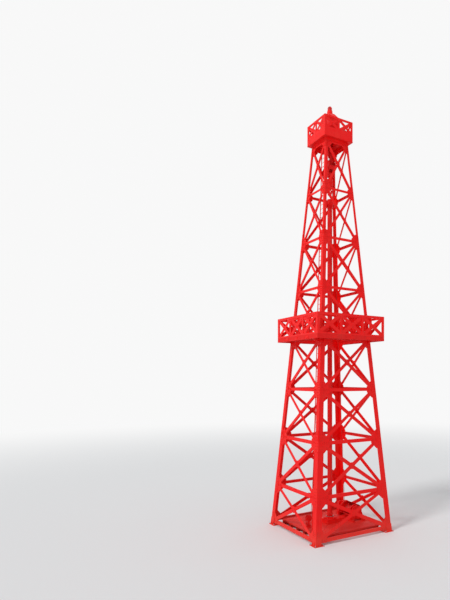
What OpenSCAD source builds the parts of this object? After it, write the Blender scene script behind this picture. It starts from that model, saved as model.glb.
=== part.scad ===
// Square bolted steel drilling derrick with its racking platform, crown and hoisting gear.
// Z points up, and the origin lies on the ground in the middle between the four legs.

/* [Derrick] */
// Width across two legs at the foot, outside to outside
base_w = 6100; // [5900:50:6400]
// Width across two legs at the water table, outside to outside
top_w = 1830; // [1800:10:1900]
// Height of the legs from the base plates to the water table
body_h = 26600; // [26000:100:27000]
// Height of the lowest bay
first_bay_h = 2880; // [2700:20:3100]

/* [Steel sections] */
// Flange width of the leg angles in the lowest section
leg_foot_w = 420; // [380:10:440]
// Flange width of the leg angles in the highest section
leg_top_w = 176; // [160:4:190]
// Thickness of the leg angles
leg_t = 22; // [18:1:26]
// Width of the bracing angles in the lowest section
brace_foot_w = 235; // [210:5:250]
// Width of the bracing angles in the highest section
brace_top_w = 165; // [145:5:175]
// Thickness of the bracing angles and gusset plates
brace_t = 12; // [10:1:14]

/* [Leg shoes] */
// Side of the square base plates
shoe_plate_w = 700; // [660:10:740]
// Thickness of the base plates
foot_t = 40; // [35:1:50]
// Distance between the anchor bolt holes of a base plate
anchor_pitch = 600; // [590:5:620]
// Diameter of the anchor bolt holes
anchor_d = 36; // [30:1:42]
// Height of the shoe above the base plate
shoe_h = 480; // [400:10:520]

/* [Derrick floor] */
// Height of the floor beams
floor_beam_h = 340; // [300:10:380]
// Thickness of the floor deck
floor_deck_t = 50; // [40:1:60]

/* [Monkey board] */
// Outside width of the walkway round the legs
monkey_w = 5380; // [5200:20:5500]
// Height of the walkway deck above the bracing level that carries it
monkey_rise = 204; // [184:2:224]
// Depth of the walkway stringers
stringer_h = 260; // [220:10:280]
// Thickness of the walkway deck
walk_t = 40; // [35:1:50]
// Height of the railing above the walkway deck
monkey_rail_h = 1370; // [1200:10:1450]

/* [Crown] */
// Outside width of the crown platform
crown_w = 2290; // [2260:10:2340]
// Depth of the water table beams
table_h = 160; // [140:5:180]
// Height of the railing above the crown platform
crown_rail_h = 1350; // [1250:10:1400]
// Outer diameter of the sheaves in the crown block and the travelling block
sheave_d = 600; // [580:5:620]
// Diameter of the drilling line
line_d = 32; // [28:1:36]

/* [Hoisting gear] */
// Drop from the axle of the crown sheaves to the travelling block's axle
block_drop = 2400; // [2300:50:2600]
// Outer diameter of the casing string
casing_d = 340; // [324:1:346]
// Drop from the travelling block's axle to the upper end of the casing string
casing_drop = 2350; // [2300:10:2450]

/* [Hidden] */

// Clearance where one piece is seated on another
seat = 0.3;
// Overlap that makes two shapes of one piece into one solid
bite = 1;

// Levels: the bays lie between them, and two bays share one section of steel
bays = 8;
sections = 4;
monkey_level = 4;
bay_h = (body_h - first_bay_h) / (bays - 1);
body_top = foot_t + body_h;
lean = atan((base_w - top_w) / 2 / body_h);
splice_rise = 450;
splice_taper = 60;

function level_z(i) = foot_t + (i == 0 ? 0 : first_bay_h + (i - 1) * bay_h);
monkey_z = round(level_z(monkey_level) + monkey_rise);
function half_at(z) = (base_w - (base_w - top_w) * (z - foot_t) / body_h) / 2;
function mix(a, b, k) = a + (b - a) * k / (sections - 1);
function leg_w(k) = mix(leg_foot_w, leg_top_w, k);
function brace_w(k) = mix(brace_foot_w, brace_top_w, k);
function section_of_bay(i) = floor(i / 2);
function section_at_level(i) = i == 0 ? 0 : floor((i - 1) / 2);

// Face frame: u runs across the face, v up its slope, and w out of it
slope_h = body_h / cos(lean);
sill_rise = 260;
function half_on_slope(v) = (base_w - (base_w - top_w) * v / slope_h) / 2;
function girt_w(i) = brace_w(section_at_level(i));
function level_v(i) = i == 0 ? sill_rise
  : i == bays ? slope_h - girt_w(i) / 2 - bite
  : (level_z(i) - foot_t) / cos(lean);
function node_u(i) = half_on_slope(level_v(i)) - leg_w(section_at_level(i)) / 2;
function joint_v(i) = level_v(i) + girt_w(i) / 2;

// Bracing lies behind the leg flanges, clear of the bracing of the next face
brace_w0 = -leg_t - seat - brace_t;
brace_inset = leg_t + brace_t + 10;
web_clear = 20;
girt_web = 95;
diagonal_web = 70;

// Hoisting gear on the middle line
sheave_r = sheave_d / 2;
sheave_pitch = 110;
sheave_t = 90;
line_r = line_d / 2;
pitch_r = sheave_r - line_r - 2;
groove_r = pitch_r - line_r - seat;
axle_d = 120;
crown_sheave_count = 5;
block_sheave_count = 4;
deck_top = floor_beam_h + floor_deck_t;
crown_floor = body_top + table_h;
crown_deck_t = 50;
crown_axle_rise = 900;
crown_axle_z = crown_floor + crown_axle_rise;
block_z = crown_axle_z - block_drop;
casing_top = block_z - casing_drop;
function crown_x(i) = (i - (crown_sheave_count - 1) / 2) * sheave_pitch;
function block_x(i) = (i - (block_sheave_count - 1) / 2) * sheave_pitch;

// The square floor lies between the base plates; drawworks and dead line anchor stand on it
shoe_reach = 100;
floor_w = base_w + 2 * shoe_reach - 2 * shoe_plate_w;
works_x = floor_w / 2 - 700;
drum_z = deck_top + 640;
drum_r = 260;
anchor_x = 550 - floor_w / 2;
anchor_z = deck_top + 620;

// Places the child on face k: 0 front, 1 right, 2 back, 3 left
module on_face(k) {
  rotate([0, 0, 90 * k])
    translate([0, -base_w / 2, foot_t])
      rotate([90 - lean, 0, 0]) children();
}

// Turns the child from the front right corner to corner c, counted anticlockwise from above
module on_corner(c) {
  rotate([0, 0, 90 * c]) children();
}

// Strip along one edge of a face, from steps of [height up the slope, distance of its inner edge
// from the corner line]; its outer edge runs at the distance outer, and side picks the edge
module edge_plate(side, steps, outer) {
  v0 = steps[0][0];
  v1 = steps[len(steps) - 1][0];
  polygon(concat(
    [[side * (half_on_slope(v0) - outer), v0], [side * (half_on_slope(v1) - outer), v1]],
    [for (i = [len(steps) - 1 : -1 : 0])
      [side * (half_on_slope(steps[i][0]) - steps[i][1]), steps[i][0]]]));
}

// Angle section up a corner: two plates in the planes of its two faces, the second let into
// the first; the plates lie between w0 and w0 + t, and reach out to the distance outer
module corner_angle(c, steps, w0, t, outer) {
  on_face(c) translate([0, 0, w0]) linear_extrude(height = t)
    edge_plate(1, steps, outer);
  on_face(c + 1) translate([0, 0, w0]) linear_extrude(height = t)
    edge_plate(-1, steps, outer + t / 2);
}

// Legs: angles that step down in width at each splice
function splice_v(k) = (level_z(2 * k) + splice_rise - foot_t) / cos(lean);
leg_v0 = leg_t * tan(lean) + seat;
leg_steps = concat(
  [[leg_v0, leg_w(0)]],
  [for (k = [1 : sections - 1]) each
    [[splice_v(k), leg_w(k - 1)], [splice_v(k) + splice_taper, leg_w(k)]]],
  [[slope_h, leg_w(sections - 1)]]);

module leg(c) {
  color("firebrick") corner_angle(c, leg_steps, -leg_t, leg_t, 0);
}

// Leg shoes: a base plate with anchor holes and a collar that the leg stands in
shoe_t = 20;
shoe_x = base_w / 2 + shoe_reach - shoe_plate_w / 2;
shoe_sink = 5;
rib_l = 75;
rib_h = 0.7 * shoe_h;

module shoe(c) {
  color("brown") {
    on_corner(c) {
      difference() {
        translate([shoe_x - shoe_plate_w / 2, -shoe_x - shoe_plate_w / 2, 0])
          cube([shoe_plate_w, shoe_plate_w, foot_t]);
        for (x = [-1, 1], y = [-1, 1])
          translate([shoe_x + x * anchor_pitch / 2, -shoe_x + y * anchor_pitch / 2, -bite])
            cylinder(h = foot_t + 2 * bite, d = anchor_d, $fn = 32);
      }
      for (side = [0, 1], p = [0.3, 0.8])
        mirror([side, side, 0])
          translate([base_w / 2 - p * leg_foot_w, -base_w / 2 - shoe_t / 2, foot_t - bite])
            rotate([90, 0, -90])
              linear_extrude(height = shoe_t)
                polygon([[0, 0], [rib_l, 0], [rib_l, 25], [-rib_h * tan(lean), rib_h]]);
    }
    corner_angle(c, [for (v = [-shoe_sink, shoe_h]) [v, leg_foot_w]], seat, shoe_t,
      -seat - shoe_t);
  }
}

// Flat bar from p to q in the plane of a face, run on by reach at both ends
module bar(p, q, w, reach = 0) {
  d = q - p;
  translate(p) rotate(atan2(d[1], d[0]))
    translate([-reach, -w / 2]) square([norm(d) + 2 * reach, w]);
}

// Thin strip along one edge of such a bar, which becomes its standing flange
module edge_strip(p, q, w, side, reach = 0) {
  d = q - p;
  translate(p) rotate(atan2(d[1], d[0]))
    translate([-reach, side > 0 ? w / 2 - brace_t : -w / 2])
      square([norm(d) + 2 * reach, brace_t]);
}

// Part of a face between heights v0 and v1, held back from the corners by inset
module face_field(v0, v1, inset) {
  polygon([[-half_on_slope(v0) + inset, v0], [half_on_slope(v0) - inset, v0],
    [half_on_slope(v1) - inset, v1], [-half_on_slope(v1) + inset, v1]]);
}

// Ends of the diagonal of bay i that rises to the side given by the sign
function diagonal_foot(i, s) = [-s * node_u(i), level_v(i)];
function diagonal_head(i, s) = [s * node_u(i + 1), level_v(i + 1)];
function crossing(i) = let (a = node_u(i), b = node_u(i + 1))
  level_v(i) + (level_v(i + 1) - level_v(i)) * a / (a + b);

// Gusset plate that spreads from the leg at level i
module gusset(i, s) {
  g = girt_w(i);
  u = node_u(i);
  b = leg_w(section_at_level(i));
  v = level_v(i);
  polygon([for (p = [[u + b / 2, 2.7 * g], [u - b / 2, 2.7 * g], [u - b / 2 - 1.9 * g, 0.9 * g],
    [u - b / 2 - 1.9 * g, -0.9 * g], [u - b / 2, -2.7 * g], [u + b / 2, -2.7 * g]])
    [s * p[0], v + p[1]]]);
}

module flat_pattern(first, last, low) {
  for (i = [low : last])
    bar([-node_u(i), level_v(i)], [node_u(i), level_v(i)], girt_w(i), leg_foot_w);
  for (i = [first : last], s = [-1, 1])
    gusset(i, s);
  for (i = [first : last - 1]) {
    w = brace_w(section_of_bay(i));
    for (s = [-1, 1])
      bar(diagonal_foot(i, s), diagonal_head(i, s), w, w / 2);
    translate([0, crossing(i)]) circle(r = w, $fn = 8);
  }
}

// Bracing of face k from level first to level last: girts, crossed diagonals and gussets
module bracing(k, first, last) {
  low = first == 0 ? 0 : first + 1;
  v0 = first == 0 ? 0.5 * sill_rise : joint_v(first) + seat;
  v1 = joint_v(last);
  web_inset = leg_w(section_at_level(first)) + web_clear;
  color("red") on_face(k) {
    translate([0, 0, brace_w0]) linear_extrude(height = brace_t)
      intersection() {
        face_field(v0, v1, brace_inset);
        flat_pattern(first, last, low);
      }
    translate([0, 0, brace_w0 - girt_web]) linear_extrude(height = girt_web + bite)
      intersection() {
        face_field(v0, v1, web_inset);
        for (i = [low : last])
          edge_strip([-node_u(i), level_v(i)], [node_u(i), level_v(i)], girt_w(i), 1);
      }
    translate([0, 0, brace_w0 - diagonal_web]) linear_extrude(height = diagonal_web + bite)
      intersection() {
        face_field(v0, v1, web_inset);
        for (i = [first : last - 1], s = [-1, 1])
          edge_strip(diagonal_foot(i, s), diagonal_head(i, s), brace_w(section_of_bay(i)), -s);
      }
  }
}

// I-beam profile, h deep and w wide, standing on the X axis
module i_profile(h, w, t) {
  translate([-w / 2, 0]) square([w, t]);
  translate([-w / 2, h - t]) square([w, t]);
  translate([-t / 2, 0]) square([t, h]);
}

// Floor beams: six I-beams that lie on the ground inside the legs
floor_beam_w = 160;
inner_beam_y = 450;
outer_beam_y = floor_w / 2 - floor_beam_w / 2;
floor_beam_y = [inner_beam_y, (inner_beam_y + outer_beam_y) / 2, outer_beam_y];
module floor_beams() {
  color("dimgray")
    for (y = floor_beam_y, s = [-1, 1])
      translate([-floor_w / 2, s * y, 0]) rotate([90, 0, 90])
        linear_extrude(height = floor_w) i_profile(floor_beam_h, floor_beam_w, 18);
}

// Floor deck: four mitred panels round the well opening
well_w = 900;
module ring_panel(outer, inner, gap) {
  polygon([[-outer / 2 + gap, -outer / 2], [outer / 2 - gap, -outer / 2],
    [inner / 2 - gap, -inner / 2], [-inner / 2 + gap, -inner / 2]]);
}
module floor_deck() {
  color("sienna")
    for (k = [0 : 3])
      rotate([0, 0, 90 * k]) translate([0, 0, floor_beam_h])
        linear_extrude(height = floor_deck_t) ring_panel(floor_w, well_w, 2);
}

// Rotary table: skid base with round turntable, closed round the casing
rotary_l = 1500;
rotary_d = 1050;
rotary_h = 300;
turntable_r = 470;
module rotary_table() {
  color("maroon") translate([0, 0, deck_top])
    difference() {
      union() {
        translate([-turntable_r - 60, -rotary_d / 2, 0])
          cube([rotary_l, rotary_d, rotary_h]);
        cylinder(h = rotary_h + 70, r = turntable_r, $fn = 64);
        cylinder(h = rotary_h + 120, r = turntable_r * 0.62, $fn = 64);
      }
      translate([0, 0, -bite])
        cylinder(h = rotary_h + 200, d = casing_d + 2 * seat, $fn = 64);
    }
}

// Drawworks: skid, two end frames and a chain case that carry the drum shaft
works_l = 2200;
works_w = 1060;
works_h = 1150;
end_frame_y = 760;
end_frame_t = 90;
shaft_d = 130;
cathead_y = 1090;
module end_frame_outline() {
  translate([-works_w / 2, 0]) square([works_w, 300]);
  polygon([[-works_w / 2, 300 - bite], [works_w / 2, 300 - bite], [300, 760], [-300, 760]]);
  translate([0, drum_z - deck_top - 90]) circle(r = 420, $fn = 64);
}
module drawworks_frame() {
  color("firebrick") translate([works_x, 0, deck_top])
    difference() {
      union() {
        for (s = [-1, 1])
          translate([s * (works_w / 2 - 80), 0, 0])
            translate([-80, -works_l / 2, 0]) cube([160, works_l, 110]);
        for (s = [-1, 1])
          translate([0, s * end_frame_y + end_frame_t / 2, 90]) rotate([90, 0, 0])
            linear_extrude(height = end_frame_t) end_frame_outline();
        translate([-works_w / 2 + 120, end_frame_y + end_frame_t / 2 - bite, 90])
          cube([works_w - 240, works_l / 2 - end_frame_y - end_frame_t / 2 + bite, works_h - 200]);
      }
      translate([0, -works_l / 2 - bite, drum_z - deck_top]) rotate([-90, 0, 0])
        cylinder(h = end_frame_y + works_l / 2 + end_frame_t, d = shaft_d + 2 * seat, $fn = 32);
    }
}

// Drum on its shaft, with flanges, brake rims and a cathead at the free end
module drawworks_drum() {
  color("gray") translate([works_x, 0, drum_z]) rotate([90, 0, 0])
    rotate_extrude($fn = 64)
      polygon([[0, -end_frame_y], [shaft_d / 2, -end_frame_y], [shaft_d / 2, -640],
        [450, -640], [450, -500], [420, -500], [420, -470], [drum_r, -470], [drum_r, 470],
        [420, 470], [420, 500], [450, 500], [450, 640], [shaft_d / 2, 640],
        [shaft_d / 2, cathead_y - 240], [150, cathead_y - 240], [105, cathead_y - 170],
        [105, cathead_y - 70], [160, cathead_y], [0, cathead_y]]);
}

// Anchor on the floor that the dead line is wound on
module dead_line_anchor() {
  color("firebrick") translate([anchor_x, -pitch_r, deck_top]) {
    translate([-200, -150, 0]) cube([400, 300, 30]);
    translate([-60, -60, 30 - bite]) cube([120, 120, 420]);
    translate([0, 0, anchor_z - deck_top]) rotate([90, 0, 0])
      rotate_extrude($fn = 48)
        polygon([[0, -90], [210, -90], [210, -55], [170, -55], [170, 55], [210, 55],
          [210, 90], [0, 90]]);
  }
}

// Ladder inside the left face, along the front left leg, resting on the girts
ladder_w = 400;
rail_w = 60;
rail_d = 20;
rung_pitch = 300;
ladder_v0 = sill_rise + 0.5 * brace_foot_w + 40;
ladder_v1 = slope_h - 60;
ladder_offset = 520;
rung_count = floor((ladder_v1 - ladder_v0) / rung_pitch) - 1;
module ladder() {
  tilt = atan((base_w - top_w) / 2 / slope_h);
  ladder_l = (ladder_v1 - ladder_v0) / cos(tilt);
  depth = -brace_w0 + girt_web + seat;
  color("darkred") on_face(3)
    translate([half_on_slope(ladder_v0) - ladder_offset, ladder_v0, -depth - rail_w])
      rotate([0, 0, tilt]) {
        for (s = [-1, 1])
          translate([s * (ladder_w / 2 + rail_d / 2) - rail_d / 2, 0, 0])
            cube([rail_d, ladder_l, rail_w]);
        for (i = [1 : rung_count])
          translate([-ladder_w / 2 - bite, i * rung_pitch, rail_w / 2]) rotate([0, 90, 0])
            cylinder(h = ladder_w + 2 * bite, d = 28, $fn = 6);
      }
}

// Walkway: four mitred decks on channel stringers round the outside of the legs
monkey_under = monkey_z - walk_t - stringer_h;
walk_inner = 2 * (half_at(monkey_under) + seat);
stringer_t = 60;
module walkway_deck() {
  color("crimson")
    for (k = [0 : 3])
      rotate([0, 0, 90 * k]) {
        translate([0, 0, monkey_z - walk_t]) linear_extrude(height = walk_t)
          ring_panel(monkey_w, walk_inner, 2);
        translate([0, 0, monkey_under]) linear_extrude(height = stringer_h + bite) {
          ring_panel(monkey_w, monkey_w - 2 * stringer_t, 2);
          ring_panel(walk_inner + 2 * stringer_t, walk_inner, 2);
          intersection() {
            ring_panel(monkey_w, walk_inner, 2);
            for (x = [-2 : 2])
              translate([x * monkey_w / 6 - stringer_t / 2, -monkey_w / 2])
                square([stringer_t, (monkey_w - walk_inner) / 2]);
          }
        }
      }
}

// Knee brackets that carry the walkway on the outer faces of the legs
knee = 160;
knee_t = 24;
module walkway_brackets() {
  z1 = monkey_under - seat;
  color("firebrick")
    for (k = [0 : 3], s = [-1, 1])
      rotate([0, 0, 90 * k])
        translate([s * (half_at(z1) - 0.6 * leg_w(1)) - knee_t / 2, 0, 0]) rotate([90, 0, 90])
          linear_extrude(height = knee_t)
            polygon([[-half_at(z1) - seat, z1], [-half_at(z1) - knee, z1],
              [-half_at(z1) - knee, z1 - 50], [-half_at(z1 - knee) - 60, z1 - knee],
              [-half_at(z1 - knee) - seat, z1 - knee]]);
}

// Railing panel: posts, top rail and toe board with a cross of broad bars in each field
cross_ratio = 1.4;
module railing(length, height, fields, rail, depth, toe) {
  pitch = (length - rail) / fields;
  translate([0, depth, 0]) rotate([90, 0, 0]) {
    linear_extrude(height = depth) {
      for (i = [0 : fields])
        translate([-length / 2 + i * pitch, 0]) square([rail, height]);
      translate([-length / 2, height - rail]) square([length, rail]);
      translate([-length / 2, 0]) square([length, toe]);
    }
    translate([0, 0, 0.3 * depth]) linear_extrude(height = 0.4 * depth)
      for (i = [0 : fields - 1]) {
        a = -length / 2 + rail + i * pitch;
        b = a + pitch - rail;
        intersection() {
          translate([a - bite, toe - bite])
            square([pitch - rail + 2 * bite, height - rail - toe + 2 * bite]);
          union() {
            bar([a, toe], [b, height - rail], cross_ratio * rail, 2 * rail);
            bar([a, height - rail], [b, toe], cross_ratio * rail, 2 * rail);
          }
        }
      }
  }
}

walk_rail = 160;
walk_rail_t = 60;
walk_toe = 100;
module walkway_railing(k) {
  trim = k % 2 == 0 ? 0 : 2 * (walk_rail_t + seat);
  color("red") rotate([0, 0, 90 * k]) translate([0, -monkey_w / 2, monkey_z])
    railing(monkey_w - trim, monkey_rail_h, 3, walk_rail, walk_rail_t, walk_toe);
}

// Inner railing: three panels along the inner edge of the walkway, with the back left open
inner_rail = 170;
inner_gap = 20;
inner_rail_y = walk_inner / 2 + inner_gap + walk_rail_t;
module inner_railing() {
  color("red")
    for (k = [0, 1, 3]) {
      trim = k == 0 ? 0 : walk_rail_t + seat;
      side = k == 1 ? 1 : -1;
      rotate([0, 0, 90 * k]) translate([side * trim / 2, -inner_rail_y, monkey_z])
        railing(2 * inner_rail_y - trim, monkey_rail_h, 3, inner_rail, walk_rail_t, walk_toe);
    }
}

// Finger board: two headers on the side girts with fingers that point inwards
girt_top = foot_t + joint_v(monkey_level) * cos(lean);
header_h = 120;
header_inset = ladder_offset + ladder_w / 2 + rail_d + 30;
header_l = 2 * (half_at(girt_top) - header_inset);
finger_pitch = 300;
finger_w = 70;
finger_h = 80;
finger_l = 1000;
finger_count = 6;
header_w = 90;
shelf_reach = 50;
board_l = 900;
board_w = 620;
board_t = 60;
module finger_board() {
  shelf_w = brace_w0 - girt_web + shelf_reach;
  shelf_x = half_at(girt_top) + shelf_w * cos(lean);
  shelf_z = girt_top + shelf_w * sin(lean) + seat;
  color("orangered") {
    for (s = [-1, 1]) {
      translate([s * (shelf_x - header_w / 2) - header_w / 2, -header_l / 2, shelf_z])
        cube([header_w, header_l, header_h]);
      for (i = [0 : finger_count - 1])
        translate([s * (shelf_x - finger_l / 2) - finger_l / 2,
            (i - (finger_count - 1) / 2) * finger_pitch - finger_w / 2,
            shelf_z + header_h + seat])
          cube([finger_l, finger_w, finger_h]);
    }
    translate([-board_w / 2, shelf_x - board_l, shelf_z]) cube([board_w, board_l, board_t]);
  }
}

// Water table: a ring of beams on the leg tops
table_beam_w = 90;
module water_table() {
  color("firebrick") translate([0, 0, body_top]) linear_extrude(height = table_h)
    difference() {
      square(top_w, center = true);
      square(top_w - 2 * table_beam_w, center = true);
    }
}

// Crown deck: panels round the crown beams
crown_beam_y = 430;
crown_beam_w = 110;
crown_beam_h = 200;
crown_hole_y = crown_beam_y + crown_beam_w / 2 + 40;
crown_hole_x = top_w / 2 - 30;
inner_plate_x = 420;
inner_plate_y = crown_beam_y - crown_beam_w / 2 - 5;
module crown_deck() {
  color("crimson") translate([0, 0, crown_floor]) linear_extrude(height = crown_deck_t) {
    for (s = [-1, 1]) {
      translate([-crown_w / 2, s > 0 ? crown_hole_y : -crown_w / 2])
        square([crown_w, crown_w / 2 - crown_hole_y]);
      translate([s > 0 ? crown_hole_x : -crown_w / 2, -crown_hole_y + 2])
        square([crown_w / 2 - crown_hole_x, 2 * crown_hole_y - 4]);
      translate([s > 0 ? inner_plate_x : -crown_hole_x - bite, -inner_plate_y])
        square([crown_hole_x + bite - inner_plate_x, 2 * inner_plate_y]);
    }
  }
}

crown_rail = 140;
crown_rail_t = 50;
crown_toe = 560;
module crown_railing(k) {
  trim = k % 2 == 0 ? 0 : 2 * (crown_rail_t + seat);
  color("red") rotate([0, 0, 90 * k])
    translate([0, -crown_w / 2, crown_floor + crown_deck_t])
      railing(crown_w - trim, crown_rail_h, 2, crown_rail, crown_rail_t, crown_toe);
}

// Crown block frame: two beams and a housing whose side plates hold the sheave axle,
// closed in front and behind by guard plates and on top by a hipped roof
cheek_t = 30;
cheek_x = crown_sheave_count * sheave_pitch / 2 + 100;
cheek_y = 600;
guard_t = 16;
foot_cut = 15;
eaves_z = crown_axle_z + 760;
roof_h = 470;
cap_half = 220;
module crown_block_frame() {
  beam_l = top_w - 80;
  deck_z = crown_floor + crown_deck_t + seat;
  beam_z = crown_floor + crown_beam_h - bite;
  notch_y = crown_beam_y + crown_beam_w / 2 + foot_cut;
  roof_x = cheek_x + cheek_t;
  roof_y = cheek_y + guard_t;
  color("firebrick") {
    for (s = [-1, 1]) {
      translate([-beam_l / 2, s * crown_beam_y, crown_floor]) rotate([90, 0, 90])
        linear_extrude(height = beam_l) i_profile(crown_beam_h, crown_beam_w, 16);
      translate([s * (cheek_x + cheek_t / 2) - cheek_t / 2, 0, 0]) rotate([90, 0, 90])
        linear_extrude(height = cheek_t)
          difference() {
            polygon([[-cheek_y - bite, deck_z], [-notch_y, deck_z], [-notch_y, beam_z],
              [notch_y, beam_z], [notch_y, deck_z], [cheek_y + bite, deck_z],
              [cheek_y + bite, eaves_z], [-cheek_y - bite, eaves_z]]);
            translate([0, crown_axle_z]) circle(d = axle_d + 2 * seat, $fn = 48);
          }
      translate([-roof_x, s * (cheek_y + guard_t / 2) - guard_t / 2, deck_z])
        cube([2 * roof_x, guard_t, eaves_z - deck_z]);
    }
    intersection() {
      translate([-roof_x - bite, 0, eaves_z - bite]) rotate([90, 0, 90])
        linear_extrude(height = 2 * roof_x + 2 * bite)
          polygon([[-roof_y, 0], [roof_y, 0], [cap_half, roof_h + bite],
            [-cap_half, roof_h + bite]]);
      translate([0, roof_y + bite, eaves_z - bite]) rotate([90, 0, 0])
        linear_extrude(height = 2 * roof_y + 2 * bite)
          polygon([[-roof_x, 0], [roof_x, 0], [cap_half, roof_h + bite],
            [-cap_half, roof_h + bite]]);
    }
  }
}

// Grooved sheave, its axis along X
module sheave() {
  rotate([0, 90, 0]) rotate_extrude($fn = 96)
    polygon([[0, -sheave_t / 2], [110, -sheave_t / 2], [110, -14], [sheave_r - 70, -14],
      [sheave_r - 45, -36], [sheave_r, -36], [sheave_r, -28], [groove_r, -line_r - 1],
      [groove_r, line_r + 1], [sheave_r, 28], [sheave_r, 36], [sheave_r - 45, 36],
      [sheave_r - 70, 14], [110, 14], [110, sheave_t / 2], [0, sheave_t / 2]]);
}

module sheave_set(count, axle_l) {
  for (i = [0 : count - 1])
    translate([(i - (count - 1) / 2) * sheave_pitch, 0, 0]) sheave();
  translate([-axle_l / 2, 0, 0]) rotate([0, 90, 0])
    cylinder(h = axle_l, d = axle_d, $fn = 48);
}

module crown_sheaves() {
  color("silver") translate([0, 0, crown_axle_z])
    sheave_set(crown_sheave_count, 2 * (cheek_x + cheek_t) + 60);
}

// Mast head: a tapered stub mast on the roof of the crown block's housing
mast_z = eaves_z + roof_h;
mast_h = 200;
module mast_head() {
  color("firebrick") translate([0, 0, mast_z]) {
    cylinder(h = 25, r = cap_half - 4, $fn = 48);
    cylinder(h = mast_h, r1 = 205, r2 = 185, $fn = 48);
  }
}

// Beacon: a round lamp housing with a domed glass
beacon_r = 185;
module beacon() {
  color("tomato") translate([0, 0, mast_z + mast_h])
    rotate_extrude($fn = 64)
      union() {
        square([beacon_r, 90]);
        square([beacon_r - 25, 200]);
        intersection() {
          translate([0, 200]) circle(r = beacon_r - 25, $fn = 64);
          translate([0, 200 - bite]) square([beacon_r, beacon_r]);
        }
      }
}

// Straight rope from p to q, its ends just clear of the pieces that it meets
module rope(p, q) {
  d = q - p;
  l = norm(d);
  end_gap = seat + line_r * norm([d[0], d[1]]) / l;
  translate(p) rotate([0, acos(d[2] / l), atan2(d[1], d[0])])
    translate([0, 0, end_gap]) cylinder(h = l - 2 * end_gap, r = line_r, $fn = 24);
}

// Half turn of rope over or under a sheave
module half_turn(x, z, side) {
  translate([x, 0, z]) rotate([side > 0 ? 0 : 180, 0, 0]) rotate([90, 0, 90])
    rotate_extrude(angle = 180, $fn = 96) translate([pitch_r, 0]) circle(r = line_r, $fn = 24);
}

// Drilling line: reeved from the dead line anchor over the sheaves to the drum
module drilling_line() {
  color("slategray") {
    for (i = [0 : crown_sheave_count - 1]) half_turn(crown_x(i), crown_axle_z, 1);
    for (i = [0 : block_sheave_count - 1]) {
      half_turn(block_x(i), block_z, -1);
      rope([block_x(i), pitch_r, block_z], [crown_x(i), pitch_r, crown_axle_z]);
      rope([block_x(i), -pitch_r, block_z], [crown_x(i + 1), -pitch_r, crown_axle_z]);
    }
    rope([anchor_x + 170 + line_r, -pitch_r, anchor_z], [crown_x(0), -pitch_r, crown_axle_z]);
    rope([works_x - drum_r - line_r, pitch_r, drum_z],
      [crown_x(crown_sheave_count - 1), pitch_r, crown_axle_z]);
  }
}

// Travelling block: two cheeks round the lower sheaves, joined at the foot
block_cheek_x = block_sheave_count * sheave_pitch / 2 + 5;
block_cheek_t = 40;
block_foot_z = block_z - 760;
module travelling_block() {
  color("gold") {
    difference() {
      for (s = [-1, 1])
        translate([s * (block_cheek_x + block_cheek_t / 2) - block_cheek_t / 2, 0, 0])
          rotate([90, 0, 90]) linear_extrude(height = block_cheek_t) {
            translate([0, block_z]) circle(r = sheave_r + 60, $fn = 64);
            polygon([[-sheave_r - 58, block_z - 30], [sheave_r + 58, block_z - 30],
              [200, block_foot_z], [-200, block_foot_z]]);
          }
      translate([-block_cheek_x - 2 * block_cheek_t, 0, block_z]) rotate([0, 90, 0])
        cylinder(h = 2 * block_cheek_x + 4 * block_cheek_t, d = axle_d + 2 * seat, $fn = 48);
    }
    translate([-block_cheek_x - bite, -180, block_foot_z])
      cube([2 * block_cheek_x + 2 * bite, 360, 240]);
    translate([0, 0, block_z])
      sheave_set(block_sheave_count, 2 * (block_cheek_x + block_cheek_t) + 40);
  }
}

// Hook: swivel shank, barrel with link ears, and the hook below
hook_top = block_foot_z - seat;
ear_z = hook_top - 640;
ear_x = 300;
hook_drop = 1080;
hook_neck = 900;
hook_z = hook_top - hook_drop;
module hook() {
  color("goldenrod") {
    translate([0, 0, hook_top - 200]) cylinder(h = 200, r = 90, $fn = 48);
    translate([0, 0, hook_top - 700]) cylinder(h = 520, r = 210, $fn = 48);
    translate([-ear_x - 60, 0, ear_z]) rotate([0, 90, 0])
      cylinder(h = 2 * ear_x + 120, r = 60, $fn = 32);
    for (s = [-1, 1])
      translate([s * (ear_x + 60) - 15, 0, ear_z]) rotate([0, 90, 0])
        cylinder(h = 30, r = 100, $fn = 32);
    translate([0, 0, hook_top - hook_neck]) cylinder(h = 220, r = 90, $fn = 48);
    translate([0, -10, hook_z]) rotate([90, 0, 90])
      rotate([0, 0, -200])
        rotate_extrude(angle = 290, $fn = 64) translate([190, 0]) circle(r = 62, $fn = 32);
  }
}

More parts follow.
